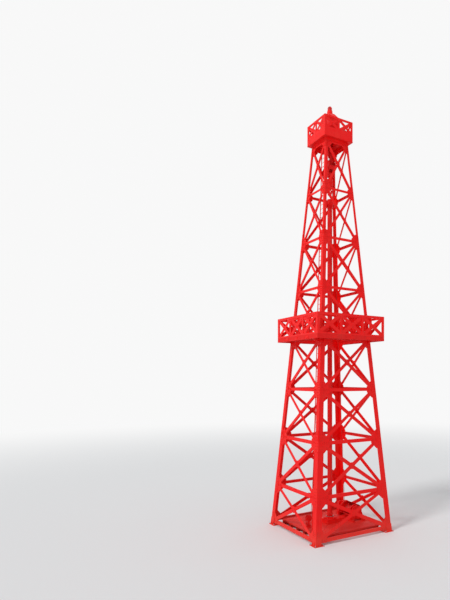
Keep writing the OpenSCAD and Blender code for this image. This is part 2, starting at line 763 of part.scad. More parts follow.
// Elevator with its two links, closed round the casing under its coupling
coupling_h = 260;
coupling_d = casing_d + 26;
elevator_h = 300;
elevator_top = casing_top - coupling_h - seat;
link_r = 32;
lug_z = elevator_top - elevator_h / 2;
module link(s) {
  eye_r = 60 + link_r + seat;
  top_z = ear_z + 60 + link_r + seat - eye_r;
  translate([s * ear_x, 0, top_z]) rotate([0, 90, 0])
    rotate_extrude($fn = 48) translate([eye_r, 0]) circle(r = link_r, $fn = 24);
  translate([s * ear_x, 0, lug_z + eye_r - bite])
    cylinder(h = top_z - lug_z - 2 * eye_r + 2 * bite, r = link_r, $fn = 24);
  translate([s * ear_x, 0, lug_z]) rotate([0, 90, 0])
    rotate_extrude($fn = 48) translate([eye_r, 0]) circle(r = link_r, $fn = 24);
}
module elevator() {
  color("darkgoldenrod") {
    difference() {
      union() {
        translate([0, 0, elevator_top - elevator_h])
          cylinder(h = elevator_h, r = casing_d / 2 + 70, $fn = 64);
        for (s = [-1, 1]) {
          translate([s * 190, 0, lug_z]) rotate([0, s * 90, 0])
            cylinder(h = 180, r = 55, $fn = 32);
        }
      }
      translate([0, 0, elevator_top - elevator_h - bite])
        cylinder(h = elevator_h + 2 * bite, d = casing_d + 2 * seat, $fn = 64);
    }
    for (s = [-1, 1]) link(s);
  }
}

// Casing string: two joints of pipe, each with a coupling at its upper end; the string hangs
// in the elevator and runs down the well opening
casing_foot = 20;
joint_l = 12000;
module casing_joint(z0, z1) {
  rotate_extrude($fn = 64)
    polygon([[casing_d / 2 - 12, z0], [casing_d / 2, z0],
      [casing_d / 2, z1 - coupling_h], [coupling_d / 2, z1 - coupling_h],
      [coupling_d / 2, z1], [casing_d / 2 - 12, z1]]);
}
module casing_string() {
  color("lightslategray") {
    casing_joint(casing_foot, casing_top - joint_l - seat);
    casing_joint(casing_top - joint_l, casing_top);
  }
}

leg(3);  // leg_front_left
leg(0);  // leg_front_right
leg(1);  // leg_back_right
leg(2);  // leg_back_left
shoe(3);  // shoe_front_left
shoe(0);  // shoe_front_right
shoe(1);  // shoe_back_right
shoe(2);  // shoe_back_left
bracing(0, 0, 1);  // base_bracing_front
bracing(1, 0, 1);  // base_bracing_right
bracing(2, 0, 1);  // base_bracing_back
bracing(3, 0, 1);  // base_bracing_left
bracing(0, 1, monkey_level);  // lower_bracing_front
bracing(1, 1, monkey_level);  // lower_bracing_right
bracing(2, 1, monkey_level);  // lower_bracing_back
bracing(3, 1, monkey_level);  // lower_bracing_left
bracing(0, monkey_level, bays);  // upper_bracing_front
bracing(1, monkey_level, bays);  // upper_bracing_right
bracing(2, monkey_level, bays);  // upper_bracing_back
bracing(3, monkey_level, bays);  // upper_bracing_left
floor_beams();
floor_deck();
rotary_table();
drawworks_frame();
drawworks_drum();
dead_line_anchor();
ladder();
walkway_deck();
walkway_brackets();
walkway_railing(0);  // walkway_railing_front
walkway_railing(1);  // walkway_railing_right
walkway_railing(2);  // walkway_railing_back
walkway_railing(3);  // walkway_railing_left
inner_railing();
finger_board();
water_table();
crown_deck();
crown_railing(0);  // crown_railing_front
crown_railing(1);  // crown_railing_right
crown_railing(2);  // crown_railing_back
crown_railing(3);  // crown_railing_left
crown_block_frame();
crown_sheaves();
mast_head();
beacon();
drilling_line();
travelling_block();
hook();
elevator();
casing_string();
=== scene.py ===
import math
from itertools import product

import bpy
import numpy as np
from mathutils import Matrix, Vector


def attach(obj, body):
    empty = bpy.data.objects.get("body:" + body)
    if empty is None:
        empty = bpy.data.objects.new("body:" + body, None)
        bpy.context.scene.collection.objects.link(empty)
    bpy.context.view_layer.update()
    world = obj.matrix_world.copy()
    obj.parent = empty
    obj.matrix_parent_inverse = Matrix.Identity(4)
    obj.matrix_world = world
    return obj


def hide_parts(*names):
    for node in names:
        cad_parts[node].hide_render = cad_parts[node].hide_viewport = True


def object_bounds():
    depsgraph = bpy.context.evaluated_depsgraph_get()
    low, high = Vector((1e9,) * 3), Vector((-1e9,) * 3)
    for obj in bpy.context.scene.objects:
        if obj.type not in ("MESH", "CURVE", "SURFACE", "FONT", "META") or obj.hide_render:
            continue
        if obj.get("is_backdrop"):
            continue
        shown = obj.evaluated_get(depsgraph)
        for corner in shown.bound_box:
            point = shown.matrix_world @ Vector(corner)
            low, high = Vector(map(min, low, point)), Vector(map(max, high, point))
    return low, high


# Steel drilling derrick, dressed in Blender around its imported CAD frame.
# Metres, Z up, the origin on the ground in the middle between the four legs.
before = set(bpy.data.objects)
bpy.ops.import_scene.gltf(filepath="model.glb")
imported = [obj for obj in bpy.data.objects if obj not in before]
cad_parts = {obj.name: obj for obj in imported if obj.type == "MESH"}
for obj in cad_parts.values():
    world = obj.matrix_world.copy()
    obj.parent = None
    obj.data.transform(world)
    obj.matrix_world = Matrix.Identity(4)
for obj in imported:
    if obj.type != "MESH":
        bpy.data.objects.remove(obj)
cad_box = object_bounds()
scene = bpy.context.scene


# Camera
# The picture keeps upright lines parallel, so the camera looks level and its frame is shifted.
# The tower's middle line and the eye level are placed where the photograph has them.
PHOTO_W, PHOTO_H = 450, 600
AXIS_PX_X, EYE_PX_Y = 329.8, 377.8
METRES_PER_PX, DISTANCE_PX = 0.0701, 503.0
EYE_HEIGHT, SENSOR = 10.48, 36.0
VIEW_TURN = math.radians(33.35)
camera_data = bpy.data.cameras.new("photo_camera")
camera_data.sensor_width = SENSOR
camera_data.lens = SENSOR * DISTANCE_PX / PHOTO_H
camera_data.shift_x = (PHOTO_W / 2 - AXIS_PX_X) / PHOTO_H
camera_data.shift_y = (EYE_PX_Y - PHOTO_H / 2) / PHOTO_H
camera_data.clip_end = 2000.0
camera = bpy.data.objects.new("photo_camera", camera_data)
far = DISTANCE_PX * METRES_PER_PX
camera.location = (-math.sin(VIEW_TURN) * far, -math.cos(VIEW_TURN) * far, EYE_HEIGHT)
camera.rotation_euler = (math.pi / 2, 0.0, -VIEW_TURN)
scene.collection.objects.link(camera)
scene.camera = camera


def wire(node, **inputs):
    """Sets or links a node's inputs: underscores stand for spaces, and _2 for number 2."""
    for key, value in inputs.items():
        socket = node.inputs[int(key[1:]) if key[0] == "_" else key.replace("_", " ")]
        if isinstance(value, bpy.types.NodeSocket):
            node.id_data.links.new(value, socket)
        else:
            socket.default_value = value


def new_material(name):
    """An empty node material with a Principled shader wired to its output."""
    material = bpy.data.materials.new(name)
    material.use_nodes = True
    tree = material.node_tree
    tree.nodes.clear()
    output = tree.nodes.new("ShaderNodeOutputMaterial")
    shader = tree.nodes.new("ShaderNodeBsdfPrincipled")
    wire(output, Surface=shader.outputs["BSDF"])
    return material, tree, shader, output


def add_node(tree, kind, settings=None, out=0, **inputs):
    """Adds a shader node with its settings and inputs, and gives back one of its outputs."""
    made = tree.nodes.new("ShaderNode" + kind)
    for key, value in (settings or {}).items():
        setattr(made, key, value)
    wire(made, **inputs)
    return made.outputs[out]


def maths(tree, operation, *values, clamp=False):
    """One step of arithmetic on sockets and numbers."""
    return add_node(tree, "Math", {"operation": operation, "use_clamp": clamp},
                    **{"_%d" % i: value for i, value in enumerate(values)})


def remap(tree, value, low, high, to_low=0.0, to_high=1.0):
    """A value carried from low and high to two others, and held between them."""
    return add_node(tree, "MapRange", Value=value, From_Min=low, From_Max=high, To_Min=to_low,
                    To_Max=to_high)


def mix(tree, amount, one, two, blend="MIX"):
    """Two colours mixed by an amount."""
    return add_node(tree, "Mix", {"data_type": "RGBA", "blend_type": blend}, 2, _0=amount,
                    _6=one, _7=two)


# Floor and light
# A plain pale floor that fades to white far from the derrick and keeps its shadow near it.
# Light comes from an even pale sky and one large soft sun from the front left.
FLOOR_RADIUS, FLOOR_SIDES, FADE_START, FADE_END = 900.0, 64, 26.0, 90.0
WHITE, GLOW = (1, 1, 1, 1), 0.94
floor_mesh = bpy.data.meshes.new("studio_floor")
angle = np.linspace(0, 2 * np.pi, FLOOR_SIDES, endpoint=False)
rim = FLOOR_RADIUS * np.stack([np.cos(angle), np.sin(angle), 0 * angle], 1)
floor_mesh.from_pydata(rim.tolist(), [], [range(FLOOR_SIDES)])
floor = bpy.data.objects.new("studio_floor", floor_mesh)
scene.collection.objects.link(floor)
material, tree, shader, output = new_material("studio_floor_white")
wire(shader, Base_Color=(0.80, 0.80, 0.80, 1), Roughness=0.9, Specular_IOR_Level=0.1)
place = add_node(tree, "TexCoord", out="Object")
away = add_node(tree, "VectorMath", {"operation": "LENGTH"}, "Value", _0=place)
fade = add_node(tree, "MapRange", {"interpolation_type": "SMOOTHSTEP"}, Value=away,
                From_Min=FADE_START, From_Max=FADE_END)
pale = add_node(tree, "Emission", Color=WHITE, Strength=GLOW)
wire(output, Surface=add_node(tree, "MixShader", _0=fade, _1=shader.outputs[0], _2=pale))
floor_mesh.materials.append(material)
floor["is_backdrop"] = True

world = bpy.data.worlds.new("studio_sky")
world.use_nodes = True
scene.world = world
sky = world.node_tree
sky.nodes.clear()
rays = add_node(sky, "LightPath").node.outputs
through = maths(sky, "MAXIMUM", rays["Is Camera Ray"], rays["Is Transmission Ray"])
seen = maths(sky, "MAXIMUM", through, rays["Is Glossy Ray"])
lighting = add_node(sky, "Background", Color=(0.96, 0.98, 1.0, 1), Strength=0.62)
backdrop = add_node(sky, "Background", Color=WHITE, Strength=GLOW)
wire(sky.nodes.new("ShaderNodeOutputWorld"),
     Surface=add_node(sky, "MixShader", _0=seen, _1=lighting, _2=backdrop))

sun_data = bpy.data.lights.new("soft_sun", "SUN")
sun_data.energy = 1.35
sun_data.angle = math.radians(14)
sun = bpy.data.objects.new("soft_sun", sun_data)
sun.rotation_euler = (math.radians(48), 0.0, math.radians(-78))
scene.collection.objects.link(sun)
scene.view_settings.view_transform = "Standard"


# Legs and bracing
# Rolled steel angles, bolted through gusset plates and painted bright red after erection.
# The paint has faded a little, run with rain streaks, and rubbed through along its edges.
RUST, DUST = (0.16, 0.05, 0.02, 1), (0.42, 0.20, 0.13, 1)


def noise(tree, where, scale, detail, rough=0.5):
    """Value of a noise texture."""
    return add_node(tree, "TexNoise", Vector=where, Scale=scale, Detail=detail, Roughness=rough)


def painted_surface_group():
    """Node group for old paint on steel: patches of faded paint, dark rain streaks, small
    rust spots, worn edges where the bevelled normal turns away from the true one, and dust
    that thins out with height. It puts out a colour, a roughness, a metal mask and a height."""
    group = bpy.data.node_groups.new("weathered_paint", "ShaderNodeTree")
    for way, kind, labels in (("INPUT", "Color", ("Paint", "Faded Paint")),
                              ("INPUT", "Float", ("Wear", "Streaks", "Dust Height", "Roughness")),
                              ("OUTPUT", "Color", ("Color",)),
                              ("OUTPUT", "Float", ("Roughness", "Metal", "Height"))):
        for label in labels:
            group.interface.new_socket(label, in_out=way, socket_type="NodeSocket" + kind)
    given = group.nodes.new("NodeGroupInput").outputs
    where = add_node(group, "TexCoord", out="Object")

    patches = noise(group, where, 0.9, 5.0, 0.6)
    faded = mix(group, remap(group, patches, 0.46, 0.76, 0.0, 0.5), given["Paint"],
                given["Faded Paint"])

    runs = noise(group, add_node(group, "Mapping", Vector=where, Scale=(9.0, 9.0, 0.7)), 1.0, 4.0, 0.65)
    run_amount = maths(group, "MULTIPLY", remap(group, runs, 0.52, 0.78), given["Streaks"])
    darker = mix(group, run_amount, faded, (0.52, 0.34, 0.32, 1), "MULTIPLY")

    grain = noise(group, where, 14.0, 7.0, 0.7)
    rounded = add_node(group, "Bevel", {"samples": 4}, Radius=0.012)
    facing = add_node(group, "VectorMath", {"operation": "DOT_PRODUCT"}, "Value", _0=rounded,
                      _1=add_node(group, "NewGeometry", out="Normal"))
    edge = maths(group, "MULTIPLY", remap(group, facing, 0.99, 0.80), grain)
    bare = maths(group, "MAXIMUM", edge, remap(group, grain, 0.66, 0.74))
    worn = maths(group, "MULTIPLY", bare, given["Wear"], clamp=True)
    rusted = mix(group, worn, darker, RUST)

    height = add_node(group, "SeparateXYZ", out="Z", Vector=where)
    low = remap(group, height, given["Dust Height"], 0.0, 0.0, 0.35)
    dusty = mix(group, maths(group, "MULTIPLY", low, runs, clamp=True), rusted, DUST)
    rough = maths(group, "MULTIPLY_ADD", patches, 0.25, given["Roughness"], clamp=True)
    wire(group.nodes.new("NodeGroupOutput"), Color=dusty,
         Roughness=maths(group, "MULTIPLY_ADD", worn, 0.3, rough, clamp=True),
         Metal=maths(group, "MULTIPLY", worn, 0.35),
         Height=maths(group, "MULTIPLY_ADD", worn, -0.8, noise(group, where, 160.0, 2.0)))
    return group


def tread_pattern_group():
    """Node group for the raised lozenges of deck plate, on surfaces that face up. The plane
    is cut into 40 mm squares; in each, with s = 1 or -1 by turns, l = a + s b and t = a - s b
    run along and across a lozenge, which is where (l / 0.62)^2 + (t / 0.2)^2 is below 1."""
    group = bpy.data.node_groups.new("tread_pattern", "ShaderNodeTree")
    group.interface.new_socket("Mask", in_out="OUTPUT", socket_type="NodeSocketFloat")

    def term(operation, *values):
        return maths(group, operation, *values)

    cells = add_node(group, "VectorMath", {"operation": "SCALE"},
                     _0=add_node(group, "TexCoord", out="Object"), _3=25.0)
    across, along, _ = add_node(group, "SeparateXYZ", _0=cells).node.outputs
    corner = term("ADD", term("FLOOR", across), term("FLOOR", along))
    sign = term("MULTIPLY_ADD", term("MODULO", term("ABSOLUTE", corner), 2.0), -2.0, 1.0)
    a = term("SUBTRACT", term("FRACT", across), 0.5)
    b = term("MULTIPLY", term("SUBTRACT", term("FRACT", along), 0.5), sign)
    longer = term("POWER", term("DIVIDE", term("ADD", a, b), 0.62), 2.0)
    shorter = term("POWER", term("DIVIDE", term("SUBTRACT", a, b), 0.20), 2.0)
    inside = remap(group, term("ADD", longer, shorter), 1.15, 0.75)
    upward = add_node(group, "SeparateXYZ", out="Z", _0=add_node(group, "NewGeometry", out="Normal"))
    wire(group.nodes.new("NodeGroupOutput"),
         Mask=term("MULTIPLY", inside, term("GREATER_THAN", upward, 0.7)))
    return group


weathered_paint, tread_pattern = painted_surface_group(), tread_pattern_group()


def paint_material(name, paint, faded, wear, streaks, dust_height, roughness, tread=0.0):
    """A painted steel finish from the weathered paint group, with its bump in metres. With a
    tread, lozenges stand 1.5 mm proud of the plate and boots keep their tops brighter."""
    material, tree, shader, _ = new_material(name)
    coat = add_node(tree, "Group", {"node_tree": weathered_paint}, Paint=(*paint, 1),
                    Faded_Paint=(*faded, 1), Wear=wear, Streaks=streaks,
                    Dust_Height=dust_height, Roughness=roughness).node.outputs
    colour = coat["Color"]
    relief = add_node(tree, "Bump", Height=coat["Height"], Strength=0.12, Distance=0.002)
    if tread:
        plate = add_node(tree, "Group", {"node_tree": tread_pattern})
        relief = add_node(tree, "Bump", Height=plate, Strength=tread, Distance=0.0015, Normal=relief)
        scuffed = (*[min(1.0, 1.1 * c + 0.05) for c in faded], 1)
        colour = mix(tree, maths(tree, "MULTIPLY", plate, 0.30), colour, scuffed)
    wire(shader, Base_Color=colour, Roughness=coat["Roughness"], Metallic=coat["Metal"],
         Normal=relief, Specular_IOR_Level=0.22)
    return material


def mottled_material(name, texture, dark, light, metallic, roughness, ramp=None, **inputs):
    """A bare finish that runs from dark to light with a texture, or over a stretch of it. Its
    roughness is one number, or two that it runs between."""
    material, tree, shader, _ = new_material(name)
    cloud = add_node(tree, texture, Vector=add_node(tree, "TexCoord", out="Object"), **inputs)
    amount = remap(tree, cloud, *ramp) if ramp else cloud
    if isinstance(roughness, tuple):
        roughness = remap(tree, cloud, 0.0, 1.0, *roughness)
    wire(shader, Base_Color=mix(tree, amount, (*dark, 1), (*light, 1)), Metallic=metallic,
         Roughness=roughness)
    return material


def dress(material, *names):
    """Gives the CAD nodes of these names one material."""
    for name in names:
        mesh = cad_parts[name].data
        mesh.materials.clear()
        mesh.materials.append(material)


CORNERS = ("front_left", "front_right", "back_right", "back_left")
SIDES = ("front", "right", "back", "left")
structure_red = paint_material("structure_red", (0.94, 0.003, 0.003), (0.88, 0.032, 0.020),
                               wear=0.65, streaks=0.45, dust_height=1.4, roughness=0.38)
fastener_red = paint_material("fastener_red", (0.80, 0.006, 0.005), (0.70, 0.05, 0.03),
                              wear=0.8, streaks=0.5, dust_height=1.2, roughness=0.42)
dress(structure_red, *("leg_" + c for c in CORNERS), *("shoe_" + c for c in CORNERS),
      *(t + "_bracing_" + s for t in ("base", "lower", "upper") for s in SIDES),
      "walkway_brackets", "water_table", "crown_block_frame", "mast_head")
structure = (structure_red, "red_paint")
fastener = (fastener_red, "red_paint")

BASE_HALF, TOP_HALF, LEG_HEIGHT, PLATE_TOP = 3.05, 0.915, 26.6, 0.04
LEAN = math.atan((BASE_HALF - TOP_HALF) / LEG_HEIGHT)
RISE, RUN = math.cos(LEAN), math.sin(LEAN)
SLOPE = LEG_HEIGHT / RISE
LOWEST_BAY = 2.88
BAY = (LEG_HEIGHT - LOWEST_BAY) / 7
LEG_WIDTHS = np.linspace(0.420, 0.176, 4)
BRACE_WIDTHS = np.linspace(0.235, 0.165, 4)
SPLICE_RISE, SILL_RISE = 0.45, 0.26
BRACE_FACE = -0.0223
SUNK, SEAT = 0.0005, 0.0003
ORIGIN, UP = (0.0, 0.0, 0.0), (0.0, 0.0, 1.0)


def half_width(v):
    """Half the width of a face, at the height v up its slope."""
    return BASE_HALF - (BASE_HALF - TOP_HALF) * v / SLOPE


def level_slope(i):
    """Height up the slope of the middle of girt i: the sill, then one girt above each bay."""
    if i == 0:
        return SILL_RISE
    if i == 8:
        return SLOPE - BRACE_WIDTHS[3] / 2 - 0.001
    return (LOWEST_BAY + (i - 1) * BAY) / RISE


def section_at(i):
    """Number of the leg section that level i belongs to, counted from the ground."""
    return 0 if i == 0 else (i - 1) // 2


def turned(points, side):
    """Points turned about the middle line by side quarter turns, with no rounding."""
    x, y, z = np.asarray(points, float).T
    for _ in range(side):
        x, y = -y, x
    return np.stack([x, y, z], 1)


OUT = [turned([[0.0, -1.0, 0.0]], side)[0] for side in range(4)]
FACE_OUT = [turned([[0.0, -RISE, RUN]], side)[0] for side in range(4)]


def spread(*values):
    """Rows of points from coordinates given as numbers or arrays of one length."""
    return np.stack([a.astype(float) for a in np.broadcast_arrays(*map(np.atleast_1d, values))], 1)


def on_face(side, u, v, w):
    """World points of a leaning face: u runs across it, v up its slope, w out of it."""
    u, v, w = spread(u, v, w).T
    return turned(np.stack([u, v * RUN - w * RISE - BASE_HALF, PLATE_TOP + v * RISE + w * RUN], 1), side)


def stand(side, at, *shapes):
    """Flat shapes stood up on a side of the object: u to the right, v up and w outwards,
    from the point at."""
    return [(turned(np.asarray(p)[:, [0, 2, 1]] * (1, -1, 1), side) + at, f) for p, f in shapes]


def follow(side, at, *shapes):
    """Profiles of (distance outwards, height) drawn along a side of the object, past at."""
    return [(turned(np.asarray(p)[:, [2, 0, 1]] * (-1, -1, 1), side) + at, f) for p, f in shapes]


def moved(shape, *by):
    """A shape shifted along the three axes."""
    return shape[0] + np.array(by), shape[1]


def joined(shapes):
    """Several (points, faces) shapes as one, their faces renumbered."""
    points, faces, start = [], [], 0
    for p, f in shapes:
        points.append(np.asarray(p, float))
        faces += [[start + int(i) for i in face] for face in f]
        start += len(p)
    return np.concatenate(points), faces


def make_piece(name, shapes, material, slot, smooth=False, replaced=()):
    """A mesh piece from a list of shapes, dressed and tied to the frame."""
    points, faces = joined(shapes)
    mesh = bpy.data.meshes.new(name)
    mesh.from_pydata(points.tolist(), [], faces)
    mesh.materials.append(material)
    if smooth:
        mesh.shade_smooth()
    piece = bpy.data.objects.new(name, mesh)
    scene.collection.objects.link(piece)
    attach(piece, "root")
    if replaced:
        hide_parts(*replaced)


def circle(count, radius, phase=0.0):
    """Points round a circle, as two arrays."""
    angle = phase + 2 * np.pi * np.arange(count) / count
    return radius * np.cos(angle), radius * np.sin(angle)


def closed_solid(rings):
    """Solid from rings of points, an array of one row each: quads between the rings, and a
    flat cap on the first ring and on the last."""
    rows, sides = rings.shape[:2]
    step, base = np.arange(sides), np.arange(0, (rows - 1) * sides, sides)[:, None]
    after = (step + 1) % sides
    quads = np.stack([base + step, base + after, base + sides + after, base + sides + step], 2)
    caps = [step[::-1].tolist(), (base[-1] + sides + step).tolist()]
    return rings.reshape(-1, 3), quads.reshape(-1, 4).tolist() + caps


def prism_rings(sides, radii, heights, phase=0.0):
    """Closed solid of rotation with few sides, a ring of points for each radius and height."""
    return closed_solid(np.stack([spread(*circle(sides, r, phase), h) for r, h in zip(radii, heights)]))


def grid_of(us, vs):
    """All pairs of the values us and vs, as two flat arrays."""
    a, b = np.meshgrid(us, vs, indexing="ij")
    return a.ravel(), b.ravel()


def drawn(outline, low, high):
    """Flat outline of (u, v) points drawn out from w = low to w = high, as a closed solid."""
    outline = np.asarray(outline, float)
    u, v = outline.T
    if np.sum(u * np.roll(v, -1) - np.roll(u, -1) * v) < 0:
        outline = outline[::-1]
    return closed_solid(np.stack([spread(*outline.T, w) for w in (low, high)]))


def face_plate(side, outline, low, high):
    """Flat plate in a leaning face: an outline of (u, v) points, drawn out from low to high."""
    points, faces = drawn(outline, low, high)
    return on_face(side, *points.T), faces


def placed_copies(template, spots, normals, spins, sizes=1.0):
    """Copies of one small shape: each point (a, b, c) of it goes to spot + a t + b (n x t) +
    c n, where n is the copy's normal and t a direction across it, turned by the spin."""
    points, faces = template
    spots = np.asarray(spots, float)
    normals = np.broadcast_to(normals, spots.shape)
    normals = normals / np.linalg.norm(normals, axis=1, keepdims=True)
    across = np.cross(np.where(np.abs(normals[:, 2:]) > 0.9, [[1.0, 0, 0]], [[0, 0, 1.0]]), normals)
    across /= np.linalg.norm(across, axis=1, keepdims=True)
    other = np.cross(normals, across)
    c, s = np.cos(spins)[:, None], np.sin(spins)[:, None]
    axes = np.stack([across * c + other * s, other * c - across * s, normals], 1)
    world = spots[:, None] + (points * np.reshape(sizes, (-1, 1, 1))) @ axes
    numbered = [[k * len(points) + i for i in face] for k in range(len(spots)) for face in faces]
    return world.reshape(-1, 3), numbered


BOLT_FLATS = 0.046
BOLT = joined([prism_rings(8, [0.62 * BOLT_FLATS] * 2, [0.0, 0.004]),
               prism_rings(6, [0.577 * BOLT_FLATS, 0.577 * BOLT_FLATS, 0.49 * BOLT_FLATS],
                           [0.004, 0.019, 0.023])])
dice = np.random.default_rng(11)


def bolts(name, groups, material, slot):
    """Hexagon bolts on washers, one piece, from (spots, normal, size) groups."""
    spots = np.concatenate([g[0] for g in groups])
    normals = np.concatenate([np.broadcast_to(g[1], (len(g[0]), 3)) for g in groups])
    sizes = np.concatenate([np.full(len(g[0]), g[2]) for g in groups])
    spins = dice.uniform(0, 2 * np.pi, len(spots))
    make_piece(name, [placed_copies(BOLT, spots, normals, spins, sizes)], material, slot)


def studs(side, at, u, v, w, size):
    """Group of bolts at the points (u, v, w) of a side, stood up as flat shapes are."""
    return stand(side, at, (spread(u, v, w), []))[0][0], OUT[side], size


def upright_studs(x, y, z, size):
    """Group of bolts that stand on a level plate."""
    return spread(x, y, z), UP, size


# Leg splices
# Cover plates on both flanges where a leg steps down to the next lighter angle,
# held by two rows of bolts through plate and leg.
SPLICE_T, SPLICE_EDGE = 0.014, 0.022
ROWS = np.array([-0.86, -0.58, -0.30, 0.30, 0.58, 0.86])
splices, splice_bolts = [], []
for side, k, s in product(range(4), (1, 2, 3), (-1, 1)):
    middle = (LOWEST_BAY + (2 * k - 1) * BAY + SPLICE_RISE) / RISE + 0.03
    wide, reach = LEG_WIDTHS[k] - 0.05, 0.36 - 0.03 * k
    v = middle + reach * np.array([-1, 1, 1, -1])
    in_from_edge = SPLICE_EDGE + wide * np.array([0, 0, 1, 1])
    splices.append(face_plate(side, np.column_stack([s * (half_width(v) - in_from_edge), v]),
                              -SUNK, SPLICE_T))
    off, up = grid_of(SPLICE_EDGE + wide * np.array([0.22, 0.78]), middle + reach * ROWS)
    spots = on_face(side, s * (half_width(up) - off), up, SPLICE_T)
    splice_bolts.append((spots, FACE_OUT[side], 0.92 - 0.06 * k))
make_piece("leg_splice_plates", splices, *structure)
bolts("leg_splice_bolts", splice_bolts, *fastener)


# Gusset plates
# Plates that tie girts and diagonals to the legs and to each other where they cross.
# They lie on the outer side of the bracing, between it and the eye, and are bolted through.
PLATE_FOOT, PLATE_FACE = BRACE_FACE - SUNK, BRACE_FACE + 0.010
for stage, levels in (("base", (0, 1)), ("lower", (2, 3, 4)), ("upper", (5, 6, 7, 8))):
    plates, fixings = [], []
    for side, i in product(range(4), levels):
        g, b, v = BRACE_WIDTHS[section_at(i)], LEG_WIDTHS[section_at(i)], level_slope(i)
        low, high = max(v - 2.7 * g, 0.13), min(v + 2.7 * g, SLOPE - 0.002)
        leg_above = LEG_WIDTHS[section_at(i) + 1] if i in (2, 4, 6) else b
        out, size = FACE_OUT[side], 0.55 + 2.0 * g
        for s in (-1, 1):
            edge = half_width(np.array([high, v, low])) - b - 0.004
            tip = edge[1] - 1.85 * g
            outline = [(s * edge[0], high), (s * tip, min(v + 0.9 * g, high)),
                       (s * tip, max(v - 0.9 * g, low)), (s * edge[2], low)]
            plates.append(face_plate(side, outline, PLATE_FOOT, PLATE_FACE))
            off, up = grid_of([0.28 * g, 0.95 * g, 1.62 * g], [v - 0.2 * g, v + 0.2 * g])
            fixings.append((on_face(side, s * (edge[1] - off), up, PLATE_FACE), out, size))
            rows = np.linspace(low + 0.35 * g, high - 0.35 * g, 7)
            off, up = grid_of([0.30 * b, 0.72 * b], rows[(rows > 0.55) | (i > 0)])
            spots = on_face(side, s * (half_width(up) - off), up, 0.0)
            fixings.append((spots[(off < leg_above) | (up < v + 0.42)], out, size))
        for near in [n for n in (i - 1, i + 1) if 0 <= n <= 8]:
            here = np.array([half_width(v) - b / 2, v])
            v2 = level_slope(near)
            there = np.array([LEG_WIDTHS[section_at(near)] / 2 - half_width(v2), v2])
            along = (there - here) / np.linalg.norm(there - here)
            spot = here + along * (np.array([[1.75], [2.25]]) * g + 0.12 * b)
            for s in (-1, 1):
                fixings.append((on_face(side, s * spot[:, 0], spot[:, 1], BRACE_FACE), out, size))
    make_piece(stage + "_gusset_plates", plates, *structure)
    bolts(stage + "_bracing_bolts", fixings, *fastener)

crossings, centre_bolts = [], []
for side, i in product(range(4), range(8)):
    w = BRACE_WIDTHS[i // 2]
    a, b = (half_width(level_slope(n)) - LEG_WIDTHS[section_at(n)] / 2 for n in (i, i + 1))
    rise = level_slope(i + 1) - level_slope(i)
    v = level_slope(i) + rise * a / (a + b)
    u, over = circle(8, 0.96 * w)
    crossings.append(face_plate(side, np.column_stack([u, v + over]), PLATE_FOOT, PLATE_FACE))
    slant = math.atan2(rise, a + b)
    ray = np.array([slant, math.pi - slant, math.pi + slant, -slant])
    spots = on_face(side, 0.62 * w * np.cos(ray), v + 0.62 * w * np.sin(ray), PLATE_FACE)
    centre_bolts.append((spots, FACE_OUT[side], 0.55 + 2.0 * w))
make_piece("crossing_plates", crossings, *structure)
bolts("crossing_bolts", centre_bolts, *fastener)


# Anchor bolts
# Threaded rods cast into the foundation come up through each base plate;
# a washer and two nuts on each pull the shoe down.
SHOE_MIDDLE, HOLE_OFF = 2.8, 0.3
NUT = [0.026, 0.030, 0.030, 0.026]
anchor_bolt = joined([prism_rings(8, [0.034] * 2, [0.040, 0.046]),
                      prism_rings(6, NUT, [0.046, 0.049, 0.068, 0.071]),
                      prism_rings(6, NUT, [0.071, 0.074, 0.086, 0.089], 0.4),
                      prism_rings(10, [0.015, 0.015, 0.012], [0.001, 0.128, 0.132])])
spots = [(cx + x, cy + y, 0.0) for cx, cy, x, y in product(
    *[(-SHOE_MIDDLE, SHOE_MIDDLE)] * 2, *[(-HOLE_OFF, HOLE_OFF)] * 2)]
zinc = mottled_material("zinc_coat", "TexVoronoi", (0.36, 0.37, 0.38), (0.60, 0.61, 0.62),
                        0.85, 0.42, Scale=90.0)
make_piece("anchor_bolts", [placed_copies(anchor_bolt, spots, UP, dice.uniform(0, 6, 16))],
           zinc, "worn_steel")


# Derrick floor
# Six rolled beams on the ground carry plate with raised lozenges, welded to an angle all round
# its edge. Strips cover the seams, stiffeners brace the beam webs, and screws hold the plate.
DECK_TOP, FLOOR_HALF = 0.39, 2.45
BEAM_LINES = np.array([-2.37, -1.41, -0.45, 0.45, 1.41, 2.37])
LIP = [(FLOOR_HALF, 0.31), (FLOOR_HALF + 0.008, 0.31), (FLOOR_HALF + 0.008, DECK_TOP + 0.008),
       (FLOOR_HALF - 0.06, DECK_TOP + 0.008), (FLOOR_HALF - 0.06, DECK_TOP),
       (FLOOR_HALF, DECK_TOP)]
deck_red = paint_material("deck_red", (0.82, 0.006, 0.005), (0.72, 0.04, 0.03), wear=0.7,
                          streaks=0.3, dust_height=0.9, roughness=0.5, tread=0.8)
floor_red = paint_material("floor_red", (0.74, 0.006, 0.005), (0.66, 0.04, 0.03), wear=0.7,
                           streaks=0.4, dust_height=0.6, roughness=0.5)
dress(deck_red, "floor_deck", "walkway_deck", "crown_deck")
dress(floor_red, "floor_beams")


